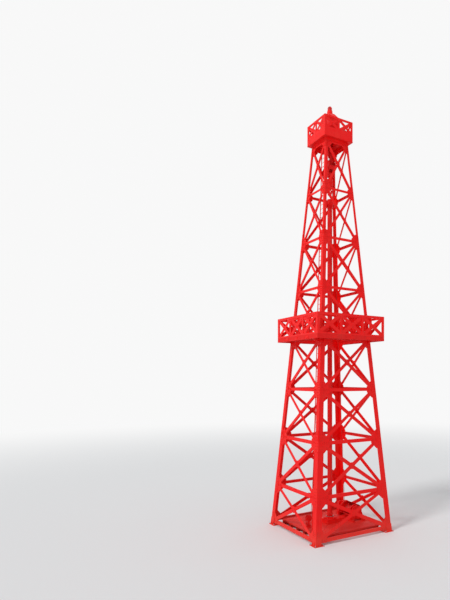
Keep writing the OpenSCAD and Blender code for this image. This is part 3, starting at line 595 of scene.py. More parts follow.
def chamfered(low, high, cut):
    """Box from corner low to corner high with its edges cut off: each corner becomes three
    points, one on each side that meets there, held back by the cut from the other two."""
    low, high = np.asarray(low, float), np.asarray(high, float)
    signs = list(product((-1, 1), repeat=3))
    held_back = (high - low) / 2 - cut * (1 - np.eye(3))
    points = (low + high) / 2 + np.array(signs)[:, None] * held_back
    first = {corner: 3 * i for i, corner in enumerate(signs)}
    faces = []
    for a, s in product(range(3), (-1, 1)):
        b, c = (a + 1) % 3, (a + 2) % 3
        ring = [first[tuple({a: s, b: t, c: r}[i] for i in range(3))] + a
                for t, r in ((-1, -1), (1, -1), (1, 1), (-1, 1))]
        faces.append(ring[::s])
        for t in (-1, 1):
            one, two = (first[tuple({a: s, b: t, c: r}[i] for i in range(3))] for r in (-1, 1))
            faces.append([one + a, one + b, two + b, two + a][::s * t])
    faces += [[n, n + 1, n + 2][::x * y * z] for (x, y, z), n in first.items()]
    return points.reshape(-1, 3), faces


seams, edges, stiffeners = [], [], []
for side in range(4):
    strip, faces = drawn([(0.60, 0.55), (2.42, 2.37), (2.37, 2.42), (0.55, 0.60)], DECK_TOP,
                         DECK_TOP + 0.006)
    seams.append((turned(strip, side), faces))
    edges += follow(side, ORIGIN, drawn(LIP, -FLOOR_HALF - 0.007, FLOOR_HALF + 0.007))
for y, x, s in product(BEAM_LINES, (-2.38, -1.20, 0.0, 1.20, 2.38), (-1, 1)):
    outline = [(y + s * off, z) for off, z in ((0.0088, 0.0178), (0.072, 0.0178), (0.072, 0.322),
                                               (0.030, 0.322), (0.0088, 0.300))]
    stiffeners += stand(1, ORIGIN, drawn(outline, x - 0.006, x + 0.006))
make_piece("deck_seam_strips", seams, floor_red, "deck_plate")
make_piece("deck_edge_angles", edges, floor_red, "deck_plate")
make_piece("beam_stiffeners", stiffeners, floor_red, "floor_steel")

SCREW = prism_rings(8, [0.013, 0.013, 0.009], [0.0, 0.002, 0.005])
x, y = grid_of(np.linspace(-2.3, 2.3, 13), BEAM_LINES)
under_table = (x > -0.66) & (x < 1.40) & (abs(y) < 0.62)
under_drawworks = (x > 1.15) & (abs(y) < 1.20)
under_anchor = (x < -1.66) & (y > -0.50) & (y < -0.10)
bare = ~(under_table | under_drawworks | under_anchor)
spots = spread(x[bare], y[bare], DECK_TOP)
make_piece("deck_screws", [placed_copies(SCREW, spots, UP, 0 * x[bare])], floor_red, "deck_plate")


# Rotary table
# A cast skid with a turntable that turns the pipe; its two-part bushing lies in the middle,
# and a shaft under a rounded guard drives it from a gearbox beside the drawworks.
TABLE_TOP, BUSHING_TOP, SKID_TOP = 0.76, 0.826, 0.408
PINION = (0.97, 0.0, 0.60)
SKID_RIB = [(0.5245, 0.407), (0.578, 0.407), (0.530, 0.640), (0.5245, 0.640)]
machine_red = paint_material("machine_red", (0.88, 0.004, 0.004), (0.80, 0.022, 0.016),
                             wear=0.5, streaks=0.35, dust_height=0.8, roughness=0.28)
machine = (machine_red, "machine_paint")
dress(machine_red, "rotary_table", "drawworks_frame", "drawworks_drum", "dead_line_anchor",
      "travelling_block", "hook", "elevator")
bright_steel = mottled_material("bright_steel", "TexNoise", (0.16, 0.15, 0.145),
                                (0.50, 0.49, 0.48), 0.9, (0.22, 0.55), Scale=22.0, Detail=6.0)


def revolved(profile, sides, start=0.0, sweep=2 * np.pi):
    """Closed profile of (radius, height) points, counterclockwise, carried round the Z axis:
    each point goes to (r cos a, r sin a, h). A part turn gets a flat face at either end."""
    r, h = np.asarray(profile, float).T
    full, m = sweep > 2 * np.pi - 1e-6, len(profile)
    count = sides if full else sides + 1
    a = (start + sweep * np.arange(count) / sides)[:, None]
    points = np.stack([r * np.cos(a), r * np.sin(a), h + 0 * a], 2)
    k, j = np.arange(count if full else count - 1)[:, None], np.arange(m)
    near, far, after = k * m, (k + 1) % count * m, (j + 1) % m
    faces = np.stack([near + j, far + j, far + after, near + after], 2).reshape(-1, 4).tolist()
    if not full:
        faces += [list(range(m)), list(range(count * m - 1, (count - 1) * m - 1, -1))]
    return points.reshape(-1, 3), faces


def box_profile(inner, outer, low, high):
    """Profile of a ring with square corners."""
    return [(inner, low), (outer, low), (outer, high), (inner, high)]


def band(inner, outer, low, high):
    """Profile of a flat ring with its outer corners eased."""
    ease = 0.25 * min(outer - inner, high - low)
    return [(inner, low), (outer - ease, low), (outer, low + ease), (outer, high - ease),
            (outer - ease, high), (inner, high)]


table = [revolved(band(0.440, 0.468, TABLE_TOP - 0.001, TABLE_TOP + 0.012), 64)]
for side in (0, 2):
    table += follow(side, (0.22, 0, 0), chamfered((0.525, 0.390, -0.77), (0.590, SKID_TOP, 0.77),
                                                  0.004))
    for w in np.linspace(-0.45, 0.89, 6) * (side - 1):
        table += follow(side, ORIGIN, drawn(SKID_RIB, w - 0.007, w + 0.007))
table += stand(1, PINION,
               prism_rings(24, [0.086, 0.086, 0.070, 0.031, 0.031, 0.078, 0.078, 0.031, 0.031],
                           [0.0, 0.05, 0.06, 0.06, 0.24, 0.24, 0.33, 0.34, 0.40]),
               revolved(box_profile(0.100, 0.104, 0.01, 0.38), 16, -0.3, np.pi + 0.6))
table.append(chamfered((1.365, -0.14, 0.50), (1.600, 0.14, 0.715), 0.018))
for y in (-0.44, 0.44):
    table += stand(1, (-0.545, y, 0.46), revolved(band(0.026, 0.050, -0.010, 0.010), 16))
make_piece("rotary_table_fittings", table, *machine)
halves = [revolved(band(0.1745, 0.284, 0.809, BUSHING_TOP), 32, 0.02 + start, np.pi - 0.04)
          for start in (0, np.pi)]
make_piece("bushing_halves", halves, bright_steel, "worn_steel")
bolts("rotary_table_bolts", [
    upright_studs(*circle(16, 0.375), TABLE_TOP, 0.75),
    upright_studs(*circle(4, 0.225, 0.785), BUSHING_TOP, 1.0),
    upright_studs(*grid_of(np.linspace(-0.50, 0.94, 7), [-0.568, 0.568]), SKID_TOP, 0.8),
    upright_studs(*grid_of([1.395, 1.570], [-0.11, 0.11]), 0.715, 0.5)], *machine)


# Casing slips
# Three toothed wedges with looped handles that sit round the casing in the bushing
# and grip it while the elevator is moved; they are lifted out by hand.
def tube(path, radius, facing, sides=8, turn=0.0):
    """Closed tube along a path. Across the tangent t lie first = f - (f.t) t, made unit, and
    second = t x first; point k of a ring is p + r_k (cos a_k first + sin a_k second)."""
    path = np.asarray(path, float)
    facing = np.broadcast_to(np.asarray(facing, float), path.shape)
    tangent = np.gradient(path, axis=0)
    tangent /= np.linalg.norm(tangent, axis=1, keepdims=True)
    first = facing - (facing * tangent).sum(1, keepdims=True) * tangent
    first /= np.linalg.norm(first, axis=1, keepdims=True)
    second = np.cross(tangent, first)
    angle = 2 * np.pi * np.arange(sides) / sides + np.reshape(turn, (-1, 1)) + 0 * path[:, :1]
    return closed_solid(path[:, None] + (radius * np.cos(angle))[..., None] * first[:, None]
                        + (radius * np.sin(angle))[..., None] * second[:, None])


def rod(start, end, radius, facing, sides=8):
    """Straight round bar between two points."""
    return tube(np.linspace(start, end, 3), radius, facing, sides)


def bent(points, bend):
    """Path through corner points, each corner rounded by (1-t)^2 a + 2t(1-t) p + t^2 b, where
    a and b lie the bend away from the corner p on its two sides."""
    points = np.asarray(points, float)
    t = np.linspace(0, 1, 6)[:, None]
    path = [points[:1]]
    for before, corner, after in zip(points, points[1:], points[2:]):
        a, b = (corner + bend * (end - corner) / np.linalg.norm(end - corner)
                for end in (before, after))
        path.append((1 - t) ** 2 * a + 2 * t * (1 - t) * corner + t ** 2 * b)
    return np.concatenate(path + [points[-1:]])


def handle(angle, corners, bend, radius, facing=None, sides=8):
    """Bent bar through (distance outwards, distance across, height) corners, seen from the
    middle line at this angle. It faces outwards, or the way that is given."""
    out = np.array([math.cos(angle), math.sin(angle)])
    across = np.array([-out[1], out[0]])
    loop = [[*(r * out + s * across), z] for r, s, z in corners]
    return tube(bent(loop, bend), radius, (*out, 0.0) if facing is None else facing, sides)


WEDGE = [(0.1712, 0.824), (0.202, 0.824), (0.222, 0.905), (0.216, 0.917), (0.1712, 0.917)]
slips = []
for k in range(3):
    start = 2 * np.pi * k / 3 + 0.12
    slips.append(revolved(WEDGE, 12, start, 2 * np.pi / 3 - 0.24))
    for shift in (0.35, 1.50):
        slips.append(handle(start + shift, [(0.205, -0.05, 0.90), (0.205, -0.05, 1.02),
                                            (0.205, 0.05, 1.02), (0.205, 0.05, 0.90)], 0.04, 0.009))
make_piece("casing_slips", slips, *machine)


# Drawworks
# The winch that reels the drilling line. Its plate end frames carry the drum shaft in bolted
# bearings, band brakes close round both rims, and the long lever works them.
WORKS_X, DRUM_Z = 1.75, 1.03
DRUM_MIDDLE, CASE = (WORKS_X, 0.0, DRUM_Z), (WORKS_X, 1.10, 0.95)
BEARINGS = ((0, -0.805), (2, -0.715), (0, 0.715))
BEARING = [(0.0655, 0), (0.160, 0), (0.160, 0.016), (0.115, 0.030), (0.105, 0.044), (0.0655, 0.044)]
GUARD_R, GUARD_START, GUARD_SWEEP = 0.500, -0.6, 1.95
works = []
for side, y in BEARINGS:
    works += stand(side, (WORKS_X, y, DRUM_Z), revolved(BEARING, 32))
for x in (1.35, 1.56, 1.94, 2.15):
    works.append(chamfered((x - 0.009, -0.840, 0.50), (x + 0.009, -0.803, 0.86), 0.004))
for x in (1.30, 2.20):
    works.append(chamfered((x - 0.07, -0.910, 0.499), (x + 0.07, -0.803, 0.515), 0.004))
    for y in (-1.108, 1.108):
        works += stand(1, (x, y, 0.455), revolved(band(0.028, 0.052, -0.011, 0.011), 16))
works += stand(0, DRUM_MIDDLE, revolved(box_profile(GUARD_R, GUARD_R + 0.005, -0.7145, 0.7145),
                                        24, GUARD_START, GUARD_SWEEP))
for a in (GUARD_START, GUARD_START + GUARD_SWEEP):
    x, z = (GUARD_R + 0.0025) * math.cos(a) + WORKS_X, (GUARD_R + 0.0025) * math.sin(a) + DRUM_Z
    works.append(rod((x, -0.714, z), (x, 0.714, z), 0.012, (1, 0, 0)))
works += stand(2, CASE, chamfered((-0.375, -0.440, -0.001), (0.375, 0.440, 0.012), 0.003),
               moved(prism_rings(32, [0.175, 0.175, 0.155], [0.011, 0.030, 0.036]), 0, 0.08, 0),
               moved(prism_rings(32, [0.115, 0.115, 0.100], [0.011, 0.026, 0.030]), -0.18, -0.24,
                     0))
works.append(chamfered((1.43, 0.84, 1.429), (2.07, 1.07, 1.446), 0.004))
works.append(tube(bent([(1.65, 0.955, 1.44), (1.65, 0.955, 1.50), (1.85, 0.955, 1.50),
                        (1.85, 0.955, 1.44)], 0.02), 0.008, (0, 1, 0)))
works.append(moved(prism_rings(20, [0.030, 0.030, 0.042, 0.042, 0.036],
                               [1.44, 1.475, 1.475, 1.497, 1.502]), 1.53, 0.90, 0))
make_piece("drawworks_fittings", works, *machine)

PIVOT_X, PIVOT_Z, RIM_R, LEVER_Y = 1.285, 0.80, 0.466, -0.650
BRAKE_BAND = [(0.451, 0), (0.458, 0), (0.458, 0.012), (RIM_R, 0.012), (RIM_R, 0.112),
              (0.458, 0.112), (0.458, 0.124), (0.451, 0.124)]
brakes = stand(2, (WORKS_X + 0.18, 1.10, 0.71),
               prism_rings(20, [0.040, 0.040, 0.036], [0.029, 0.120, 0.126]))
band_bolts = []
for low in (0.508, -0.632):
    ring = revolved(BRAKE_BAND, 60, math.radians(-110), math.radians(300))
    brakes += stand(0, DRUM_MIDDLE, moved(ring, 0, 0, low))
    y = -low - 0.062
    a = np.radians(np.arange(-100, 190, 18))
    ray = np.stack([np.cos(a), 0 * a, np.sin(a)], 1)
    band_bolts += [((WORKS_X, y + shift, DRUM_Z) + RIM_R * ray, ray, 0.42) for shift in (-0.030, 0.030)]
    upper = [(1.296, y, 0.96), (1.290, y, 0.88), (PIVOT_X, y, PIVOT_Z)]
    lower = bent([(1.600, y, 0.588), (1.400, y, 0.560), (PIVOT_X, y, PIVOT_Z)], 0.05)
    brakes += [tube(link, 0.015, (0, 1, 0)) for link in (upper, lower)]
brakes.append(rod((PIVOT_X, -0.70, PIVOT_Z), (PIVOT_X, 0.70, PIVOT_Z), 0.026, (1, 0, 0), 12))
for y in (-0.690, 0.690):
    brakes.append(chamfered((1.240, y - 0.022, 0.499), (1.330, y + 0.022, 0.845), 0.012))
lever = bent([(PIVOT_X, LEVER_Y, PIVOT_Z), (1.250, LEVER_Y, 1.00), (1.160, LEVER_Y, 1.25),
              (1.150, LEVER_Y, 1.66)], 0.08)
grip = [(1.154, LEVER_Y, 1.49), (1.152, LEVER_Y, 1.58), (1.150, LEVER_Y, 1.665)]
brakes += [tube(lever, 0.016, (0, 1, 0), 12), tube(grip, 0.023, (0, 1, 0), 12)]
make_piece("brake_gear", brakes, *machine)

rim_u, rim_v = np.concatenate([grid_of(np.linspace(-0.34, 0.34, 7), [v]) for v in (-0.40, 0.40)]
                              + [grid_of([u], np.linspace(-0.27, 0.27, 4))
                                 for u in (-0.34, 0.34)], axis=1)
works_bolts = [studs(2, CASE, rim_u, rim_v, 0.012, 0.6)]
for side, y in BEARINGS:
    works_bolts.append(studs(side, (WORKS_X, y, DRUM_Z), *circle(8, 0.138), 0.016, 0.7))
works_bolts.append(studs(2, (WORKS_X, 1.10, 1.03), *circle(8, 0.155), 0.030, 0.5))
x, y = grid_of([1.26, 1.34, 2.16, 2.24], [-1.05, -0.88, -0.55, 0.45, 0.60, 1.05])
works_bolts.append(upright_studs(x, y, np.where(y == -0.88, 0.515, 0.50), 0.8))
bolts("drawworks_bolts", works_bolts + band_bolts, *machine)


# Dead line anchor
# A grooved wheel on a ribbed post that holds the line's still end; an arm from the wheel
# presses on a weight cell, and a clamp keeps the line from slipping.
ANCHOR_X, ANCHOR_Y, ANCHOR_Z = -1.90, -0.282, 1.01
WHEEL_FACE = (ANCHOR_X, ANCHOR_Y - 0.09, ANCHOR_Z)
anchor = []
for side, reach in enumerate((0.135, 0.185, 0.135, 0.185)):
    rib = [(0.0595, 0.4195), (reach, 0.4195), (0.0595, 0.720)]
    anchor += follow(side, (ANCHOR_X, ANCHOR_Y, 0.0), drawn(rib, -0.007, 0.007))
anchor += stand(0, WHEEL_FACE, prism_rings(32, [0.130, 0.130, 0.110, 0.050, 0.050],
                                           [0.0, 0.014, 0.018, 0.018, 0.034]))
anchor.append(chamfered((ANCHOR_X - 0.250, ANCHOR_Y - 0.040, 0.955),
                        (ANCHOR_X - 0.150, ANCHOR_Y + 0.040, 1.035), 0.010))
cell = prism_rings(20, [0.016, 0.016, 0.048, 0.052, 0.052, 0.048, 0.016, 0.016],
                   [0.415, 0.600, 0.600, 0.606, 0.720, 0.726, 0.726, 0.960])
anchor.append(moved(cell, ANCHOR_X - 0.180, ANCHOR_Y, 0.0))
anchor.append(chamfered((-1.800, -0.360, 0.850), (-1.712, -0.285, 0.935), 0.010))
make_piece("anchor_fittings", anchor, *machine)
u, v = grid_of([-0.165, 0.165], [-0.115, 0.115])
bolts("anchor_fitting_bolts", [
    upright_studs(ANCHOR_X + u, ANCHOR_Y + v, 0.420, 0.9),
    studs(0, WHEEL_FACE, *circle(8, 0.110), 0.0175, 0.55),
    studs(0, ORIGIN, [-1.775, -1.737], [0.872, 0.913], 0.360, 0.5)], *machine)


# Ladder
# Flat bar stringers and round rungs inside the left face, held off each girt by bent clips.
# Its paint is worn through to rust along the edges.
LADDER_SIDE, LADDER_OFF, RAIL_OUT = 3, 0.52, 0.2205
CLIP_BACK, CLIP_T = -0.188, 0.008
railing_red = paint_material("railing_red", (0.96, 0.004, 0.004), (0.90, 0.036, 0.022),
                             wear=0.6, streaks=0.35, dust_height=0.5, roughness=0.34)
railing = (railing_red, "railing_paint")
dress(railing_red, *("walkway_railing_" + s for s in SIDES),
      *("crown_railing_" + s for s in SIDES), "inner_railing", "ladder", "finger_board")
up_the_face = turned([[0.0, RUN, RISE]], LADDER_SIDE)[0]
clips, clip_bolts = [], []
for i, s in product(range(8), (-1, 1)):
    v = level_slope(i) + BRACE_WIDTHS[section_at(i)] / 2
    u, foot = half_width(v) - LADDER_OFF + s * RAIL_OUT, v + CLIP_T - SUNK
    flange = [(u, v - SUNK), (u + s * CLIP_T, v - SUNK), (u + (s - 1) * CLIP_T, v + 0.12),
              (u - CLIP_T, v + 0.12)]
    leaf = [(u, v - SUNK), (u + s * 0.085, v - SUNK), (u + s * 0.085, foot), (u, foot)]
    clips += [face_plate(LADDER_SIDE, flange, CLIP_BACK, -0.100),
              face_plate(LADDER_SIDE, leaf, CLIP_BACK, -0.070)]
    clip_bolts.append((on_face(LADDER_SIDE, [u + s * 0.050], foot, -0.098), up_the_face, 0.55))
make_piece("ladder_clips", clips, *railing)
bolts("ladder_clip_bolts", clip_bolts, *railing)


# Monkey board
# The walkway round the legs: lozenge plate on channels, with posts of broad flat bar that
# stand on bolted feet. Discs are riveted where the bars of a railing field cross.
BOARD_Z, CROWN_Z, WALK_HALF, CROWN_HALF = 13.29, 26.85, 2.69, 1.145
# side, length, fields, bar width, height, toe board, middle, distance of the outer face,
# depth, deck height, and 1 where the feet stand outside the panel or -1 where inside
PANELS = []
for side in range(4):
    odd = side % 2
    PANELS += [(side, 5.38 - odd * 0.1206, 3, 0.160, 1.37, 0.10, 0.0, WALK_HALF, 0.060, BOARD_Z, -1),
               (side, 2.29 - odd * 0.1006, 2, 0.140, 1.35, 0.56, 0.0, CROWN_HALF, 0.050, CROWN_Z,
                -1)]
    if side != 2:
        PANELS.append((side, 4.1818 - odd * 0.0603, 3, 0.170, 1.37, 0.10,
                       (0, 0.03015, 0, -0.03015)[side], 2.0909, 0.060, BOARD_Z, 1))
discs, disc_bolts, feet, foot_bolts = [], [], [], []
for side, length, fields, rail, height, toe, middle, outer, depth, z, way in PANELS:
    pitch, mid_d, proud = (length - rail) / fields, outer - depth / 2, 0.38 * depth
    base = outer if way > 0 else outer - depth
    end = length / 2 - 0.14 - 0.04 * (side % 2)
    v = z + (toe + height - rail) / 2
    disc = prism_rings(20, [0.62 * rail, 0.68 * rail, 0.68 * rail, 0.62 * rail],
                       [-proud, -0.30 * depth, 0.30 * depth, proud])
    for i in range(fields):
        u = middle - length / 2 + rail / 2 + pitch * (i + 0.5)
        at = turned([[u, -mid_d, v]], side)[0]
        discs += stand(side, at, disc)
        for s in (-1, 1):
            disc_bolts.append(([at + s * proud * OUT[side]], s * OUT[side], 0.8))
            if depth > 0.05:
                spots = [(u + s * t, -mid_d - s * proud, v + s * t) for t in (-0.040, 0.040)]
                disc_bolts.append((turned(spots, side), s * OUT[side], 0.4))
    for i in range(fields + 1):
        u = middle + np.clip(-length / 2 + rail / 2 + pitch * i, -end, end)
        back, near, far = base - way * 0.001, *sorted((base - way * 0.001, base + way * 0.075))
        rib = [(base + way * 0.062, z + 0.011), (back, z + 0.011), (back, z + 0.150)]
        feet += follow(side, ORIGIN, chamfered((near, z, -u - 0.075), (far, z + 0.012, -u + 0.075),
                                               0.003), drawn(rib, -u - 0.005, -u + 0.005))
        spots = [(u + s * 0.045, -(base + way * 0.042), z + 0.012) for s in (-1, 1)]
        foot_bolts.append((turned(spots, side), UP, 0.5))
make_piece("railing_discs", discs, *railing)
make_piece("railing_feet", feet, *railing)
bolts("railing_disc_bolts", disc_bolts, *railing)
bolts("railing_foot_bolts", foot_bolts, *railing)

splices, splice_bolts = [], []
for side in range(4):
    for u in (-1.35, 0.0, 1.35):
        splices += stand(side, WALK_HALF * OUT[side], chamfered((u - 0.17, 13.025, 0.0),
                                                                (u + 0.17, 13.225, 0.011), 0.003))
        spots = grid_of(u + np.array([-0.12, -0.05, 0.05, 0.12]), [13.065, 13.185])
        splice_bolts.append(studs(side, WALK_HALF * OUT[side], *spots, 0.011, 0.6))
    for u in np.linspace(-2.2, 2.2, 9):
        splice_bolts.append((turned([[u, -2.35, BOARD_Z]], side), UP, 0.45))
make_piece("walkway_splices", splices, structure_red, "deck_plate")
bolts("walkway_bolts", splice_bolts, structure_red, "deck_plate")


# Finger board
# Fingers of box section that hold stands of pipe apart, with rounded noses and small
# upright latches; the derrickman's board between them has cross bars for grip.
girt_top = PLATE_TOP + (level_slope(4) + BRACE_WIDTHS[1] / 2) * RISE
BRACE_BACK, GIRT_WEB, SHELF_REACH = -0.0343, 0.095, 0.050
SHELF_W = BRACE_BACK - GIRT_WEB + SHELF_REACH
shelf_x = half_width((girt_top - PLATE_TOP) / RISE) + SHELF_W * RISE
shelf_z = girt_top + SHELF_W * RUN + SEAT
FINGER_Z, FINGER_L = shelf_z + 0.1203, 1.0
nose = prism_rings(20, [0.031, 0.0345, 0.0345, 0.031], [0.001, 0.005, 0.075, 0.079])
roller = prism_rings(12, [0.016, 0.020, 0.020, 0.016], [-0.034, -0.031, 0.031, 0.034])
tips, latches, head_bolts = [], [], []
for s in (-1, 1):
    for y in np.linspace(-0.75, 0.75, 6):
        tips.append(moved(nose, s * (shelf_x - FINGER_L), y, FINGER_Z))
        for step in (0.10, 0.38, 0.66):
            x = s * (shelf_x - FINGER_L + step)
            tips += stand(0, (x, y, FINGER_Z + 0.088), roller)
            latches.append(chamfered((x - 0.012, y - 0.008, FINGER_Z + 0.085),
                                     (x + 0.012, y + 0.008, FINGER_Z + 0.215), 0.004))
        head_bolts.append(upright_studs(s * (shelf_x - 0.045), [y - 0.018, y + 0.018],
                                        FINGER_Z + 0.08, 0.6))
    head_bolts.append(upright_studs(s * (shelf_x - 0.045), [-1.12, -1.02, 1.02, 1.12],
                                    FINGER_Z - SEAT, 0.7))
for y in shelf_x - 0.86 + 0.095 * np.arange(9):
    latches.append(chamfered((-0.285, y, shelf_z + 0.0595), (0.285, y + 0.016, shelf_z + 0.069), 0.003))
make_piece("finger_noses", tips, *railing)
make_piece("finger_latches", latches, machine_red, "railing_paint")
bolts("finger_board_bolts", head_bolts, *railing)


# Crown
# Beams on the leg tops carry a small railed deck and the crown block's housing: side plates
# that hold the sheave axle, guard plates with stiffening frames, a door, and a hipped roof.
AXLE_Z, EAVES_Z, MAST_Z = 27.70, 28.46, 28.93
CHEEK, GUARD, CAP = 0.405, 0.616, 0.220
FOOT_Z, HEAD_Z = CROWN_Z + 0.02, EAVES_Z - 0.02
BARS, BEAM_TOP = (26.895, 27.56, 28.415), 27.0
POSTS = (-0.375, 0.375)
hub = revolved([(0.0615, 0), (0.160, 0), (0.160, 0.016), (0.105, 0.028), (0.095, 0.040),
                (0.0615, 0.040)], 40)
hinge = prism_rings(12, [0.012, 0.014, 0.014, 0.012], [-0.045, -0.042, 0.042, 0.045])
hinge = hinge[0][:, [1, 2, 0]], hinge[1]
crown, crown_bolts = [], []
for side in (1, 3):
    cheek, axle = CHEEK * OUT[side], CHEEK * OUT[side] + (0, 0, AXLE_Z)
    crown += stand(side, axle, hub, prism_rings(32, [0.0595, 0.0595, 0.050], [0.025, 0.042, 0.046]))
    crown_bolts += [studs(side, axle, *circle(10, 0.135), 0.016, 0.75),
                    studs(side, axle, *circle(3, 0.032), 0.046, 0.55)]
    for u in (-0.585, 0.585):
        crown += stand(side, cheek, chamfered((u - 0.028, FOOT_Z, -0.001),
                                              (u + 0.028, HEAD_Z, 0.008), 0.002))
        crown_bolts.append(studs(side, cheek, u, np.arange(26.97, 28.40, 0.14), 0.008, 0.5))
for z in 27.02 + 0.31 * np.arange(5):
    rung = [(CHEEK - 0.001, 0.26, z), (CHEEK + 0.075, 0.26, z), (CHEEK + 0.075, 0.52, z),
            (CHEEK - 0.001, 0.52, z)]
    crown.append(tube(bent(rung, 0.03), 0.010, UP))
for side in (0, 2):
    face = GUARD * OUT[side]
    frames = [(u - 0.024, FOOT_Z, u + 0.024, HEAD_Z, 0.008) for u in POSTS]
    frames += [(-0.399, z - 0.024, 0.399, z + 0.024, 0.010) for z in BARS]
    for left, foot, right, head, thick in frames:
        crown += stand(side, face, chamfered((left, foot, -0.001), (right, head, thick), 0.002))
    v = np.concatenate([np.arange(27.00, 27.50, 0.12), np.arange(27.68, 28.36, 0.12)])
    crown_bolts += [studs(side, face, u, v, 0.008, 0.5) for u in POSTS]
    crown_bolts += [studs(side, face, np.linspace(-0.27, 0.27, 5), z, 0.010, 0.5) for z in BARS]
    pull = bent([(0.19, 27.93, 0.010), (0.19, 27.93, 0.055), (0.19, 28.05, 0.055),
                 (0.19, 28.05, 0.010)], 0.02)
    crown += stand(side, face, chamfered((-0.24, 27.66, -0.001), (0.24, 28.32, 0.014), 0.005),
                   *(moved(hinge, -0.245, z, 0.012) for z in (27.80, 28.18)),
                   tube(pull, 0.008, (1, 0, 0)))
for x, y in product((-1, 1), (-1, 1)):
    crown.append(rod((x * CHEEK, y * GUARD, EAVES_Z), (x * CAP, y * CAP, MAST_Z), 0.011, (x, -y, 0)))
for side, half, far in ((0, CHEEK + 0.014, GUARD), (1, GUARD, CHEEK),
                        (2, CHEEK + 0.014, GUARD), (3, GUARD, CHEEK)):
    eave = [(far, EAVES_Z - 0.015), (far + 0.014, EAVES_Z - 0.015), (far + 0.014, EAVES_Z + 0.006),
            (far - 0.020, EAVES_Z + 0.030), (far, EAVES_Z)]
    crown += follow(side, ORIGIN, drawn(eave, -half, half))
crown.append(revolved(band(0.202, 0.2155, MAST_Z + 0.024, MAST_Z + 0.034), 48))
make_piece("crown_fittings", crown, *structure)
bolts("crown_fitting_bolts", crown_bolts, *fastener)

TRIM = [(CROWN_HALF, 26.79), (1.152, 26.79), (1.152, 26.852), (CROWN_HALF, 26.852)]
trims, edge_bolts = [], []
for side in range(4):
    half, beam = (1.152, CROWN_HALF)[side % 2], TOP_HALF * OUT[side]
    trims += follow(side, ORIGIN, drawn(TRIM, -half, half))
    for u in (-0.72, 0.72):
        trims += stand(side, beam, chamfered((u - 0.175, 26.652, -0.001), (u + 0.175, 26.788, 0.010),
                                             0.003))
        spots = grid_of(u + np.array([-0.13, -0.045, 0.045, 0.13]), [26.685, 26.755])
        edge_bolts.append(studs(side, beam, *spots, 0.010, 0.55))
    for x in (-0.62, -0.52, 0.52, 0.62, 0.80) if side in (0, 2) else ():
        pair = OUT[side][1] * 0.43 + np.array([-0.032, 0.032])
        edge_bolts.append(upright_studs(x, pair, BEAM_TOP, 0.6))
make_piece("crown_deck_trim", trims, structure_red, "deck_plate")
bolts("crown_deck_bolts", edge_bolts, *fastener)


# Beacon
# A lamp for aircraft: a cast foot, a ribbed dome of red glass over the bulb,
# and a welded cage that keeps birds and tools off it.
BEACON_Z, CAGE_R, DOME_R, SHOULDER = 29.13, 0.152, 0.140, 0.200
lamp = [prism_rings(40, [0.183, 0.185, 0.185, 0.168, 0.162, 0.160, 0.150],
                    [0.000, 0.003, 0.020, 0.028, 0.070, 0.088, 0.092]),
        prism_rings(16, [0.030, 0.030, 0.020], [0.091, 0.150, 0.155])]
t = np.linspace(0, np.pi / 2 - 0.03, 12)
r = np.concatenate([[CAGE_R, CAGE_R], CAGE_R * np.cos(t)])
h = np.concatenate([[0.086, 0.150], SHOULDER + CAGE_R * np.sin(t)])
for a in np.pi / 4 * np.arange(8) + 0.2:
    lamp.append(tube(np.stack([r * math.cos(a), r * math.sin(a), h], 1), 0.006,
                     (-math.sin(a), math.cos(a), 0)))
for r, h in ((CAGE_R, SHOULDER), (0.1075, 0.3075)):
    lamp.append(revolved(box_profile(r - 0.005, r + 0.005, h - 0.005, h + 0.005), 40))
make_piece("beacon_housing", [moved(joined(lamp), 0, 0, BEACON_Z)], *machine, replaced=("beacon",))
bolts("beacon_bolts", [upright_studs(*circle(8, 0.174), BEACON_Z + 0.0235, 0.45)], *machine)
t = np.linspace(0, np.pi / 2, 14)[1:-1]
rows_r = [DOME_R, *[DOME_R, 0.134] * 3, DOME_R, *DOME_R * np.cos(t), 0.004]
rows_h = [0.091, *np.linspace(0.100, 0.190, 7), *SHOULDER + DOME_R * np.sin(t), 0.340]
glass = mottled_material("beacon_glass", "TexNoise", (0.95, 0.010, 0.008), (0.80, 0.004, 0.004),
                         0.0, 0.06, Scale=9.0, Detail=3.0)
wire(glass.node_tree.nodes["Principled BSDF"], IOR=1.5, Transmission_Weight=0.75)
make_piece("beacon_dome", [moved(prism_rings(40, rows_r, rows_h), 0, 0, BEACON_Z)], glass,
           "beacon_glass", smooth=True, replaced=("beacon",))
dress(glass, "beacon")


# Sheaves
# Cast steel wheels on one axle, in worn steel mottled from dark to light at random.
worn_steel = mottled_material("worn_steel", "TexNoise", (0.10, 0.09, 0.085), (0.42, 0.40, 0.385),
                              0.9, (0.3, 0.6), (0.35, 0.65), Scale=5.0, Detail=6.0)
dress(worn_steel, "crown_sheaves")


# Drilling line
# One length of six-strand wire rope, 32 mm thick, dressed with red rope grease. It is reeved
# from the anchor on the floor over the crown sheaves and under the block's to the drum.
LINE_R, LAY, PITCH_R, SHEAVE_PITCH = 0.016, 0.224, 0.282, 0.110
BLOCK_AXLE_Z, DRUM_R, ANCHOR_R = 25.30, 0.26, 0.17
ROPE_WRAP = 2 * LINE_R + 0.0015
DEAD_LEAN, FAST_LEAN = 0.0562, 0.0472


def straight_run(p, q):
    """Points from p to q, both ends in, about a tenth of a strand's turn apart."""
    p, q = np.asarray(p, float), np.asarray(q, float)
    return np.linspace(p, q, max(2, int(np.linalg.norm(q - p) / (LAY / 10))))


def half_turn(x, z, side):
    """Half turn round a sheave: y = r cos a and z = z0 + side r sin a, from one rope to the
    next. It runs from -y over the top for side 1, and from +y under the foot for side -1."""
    a = np.linspace(np.pi, 0, 34) if side > 0 else np.linspace(0, np.pi, 34)
    return np.stack([x + 0 * a, PITCH_R * np.cos(a), z + side * PITCH_R * np.sin(a)], 1)


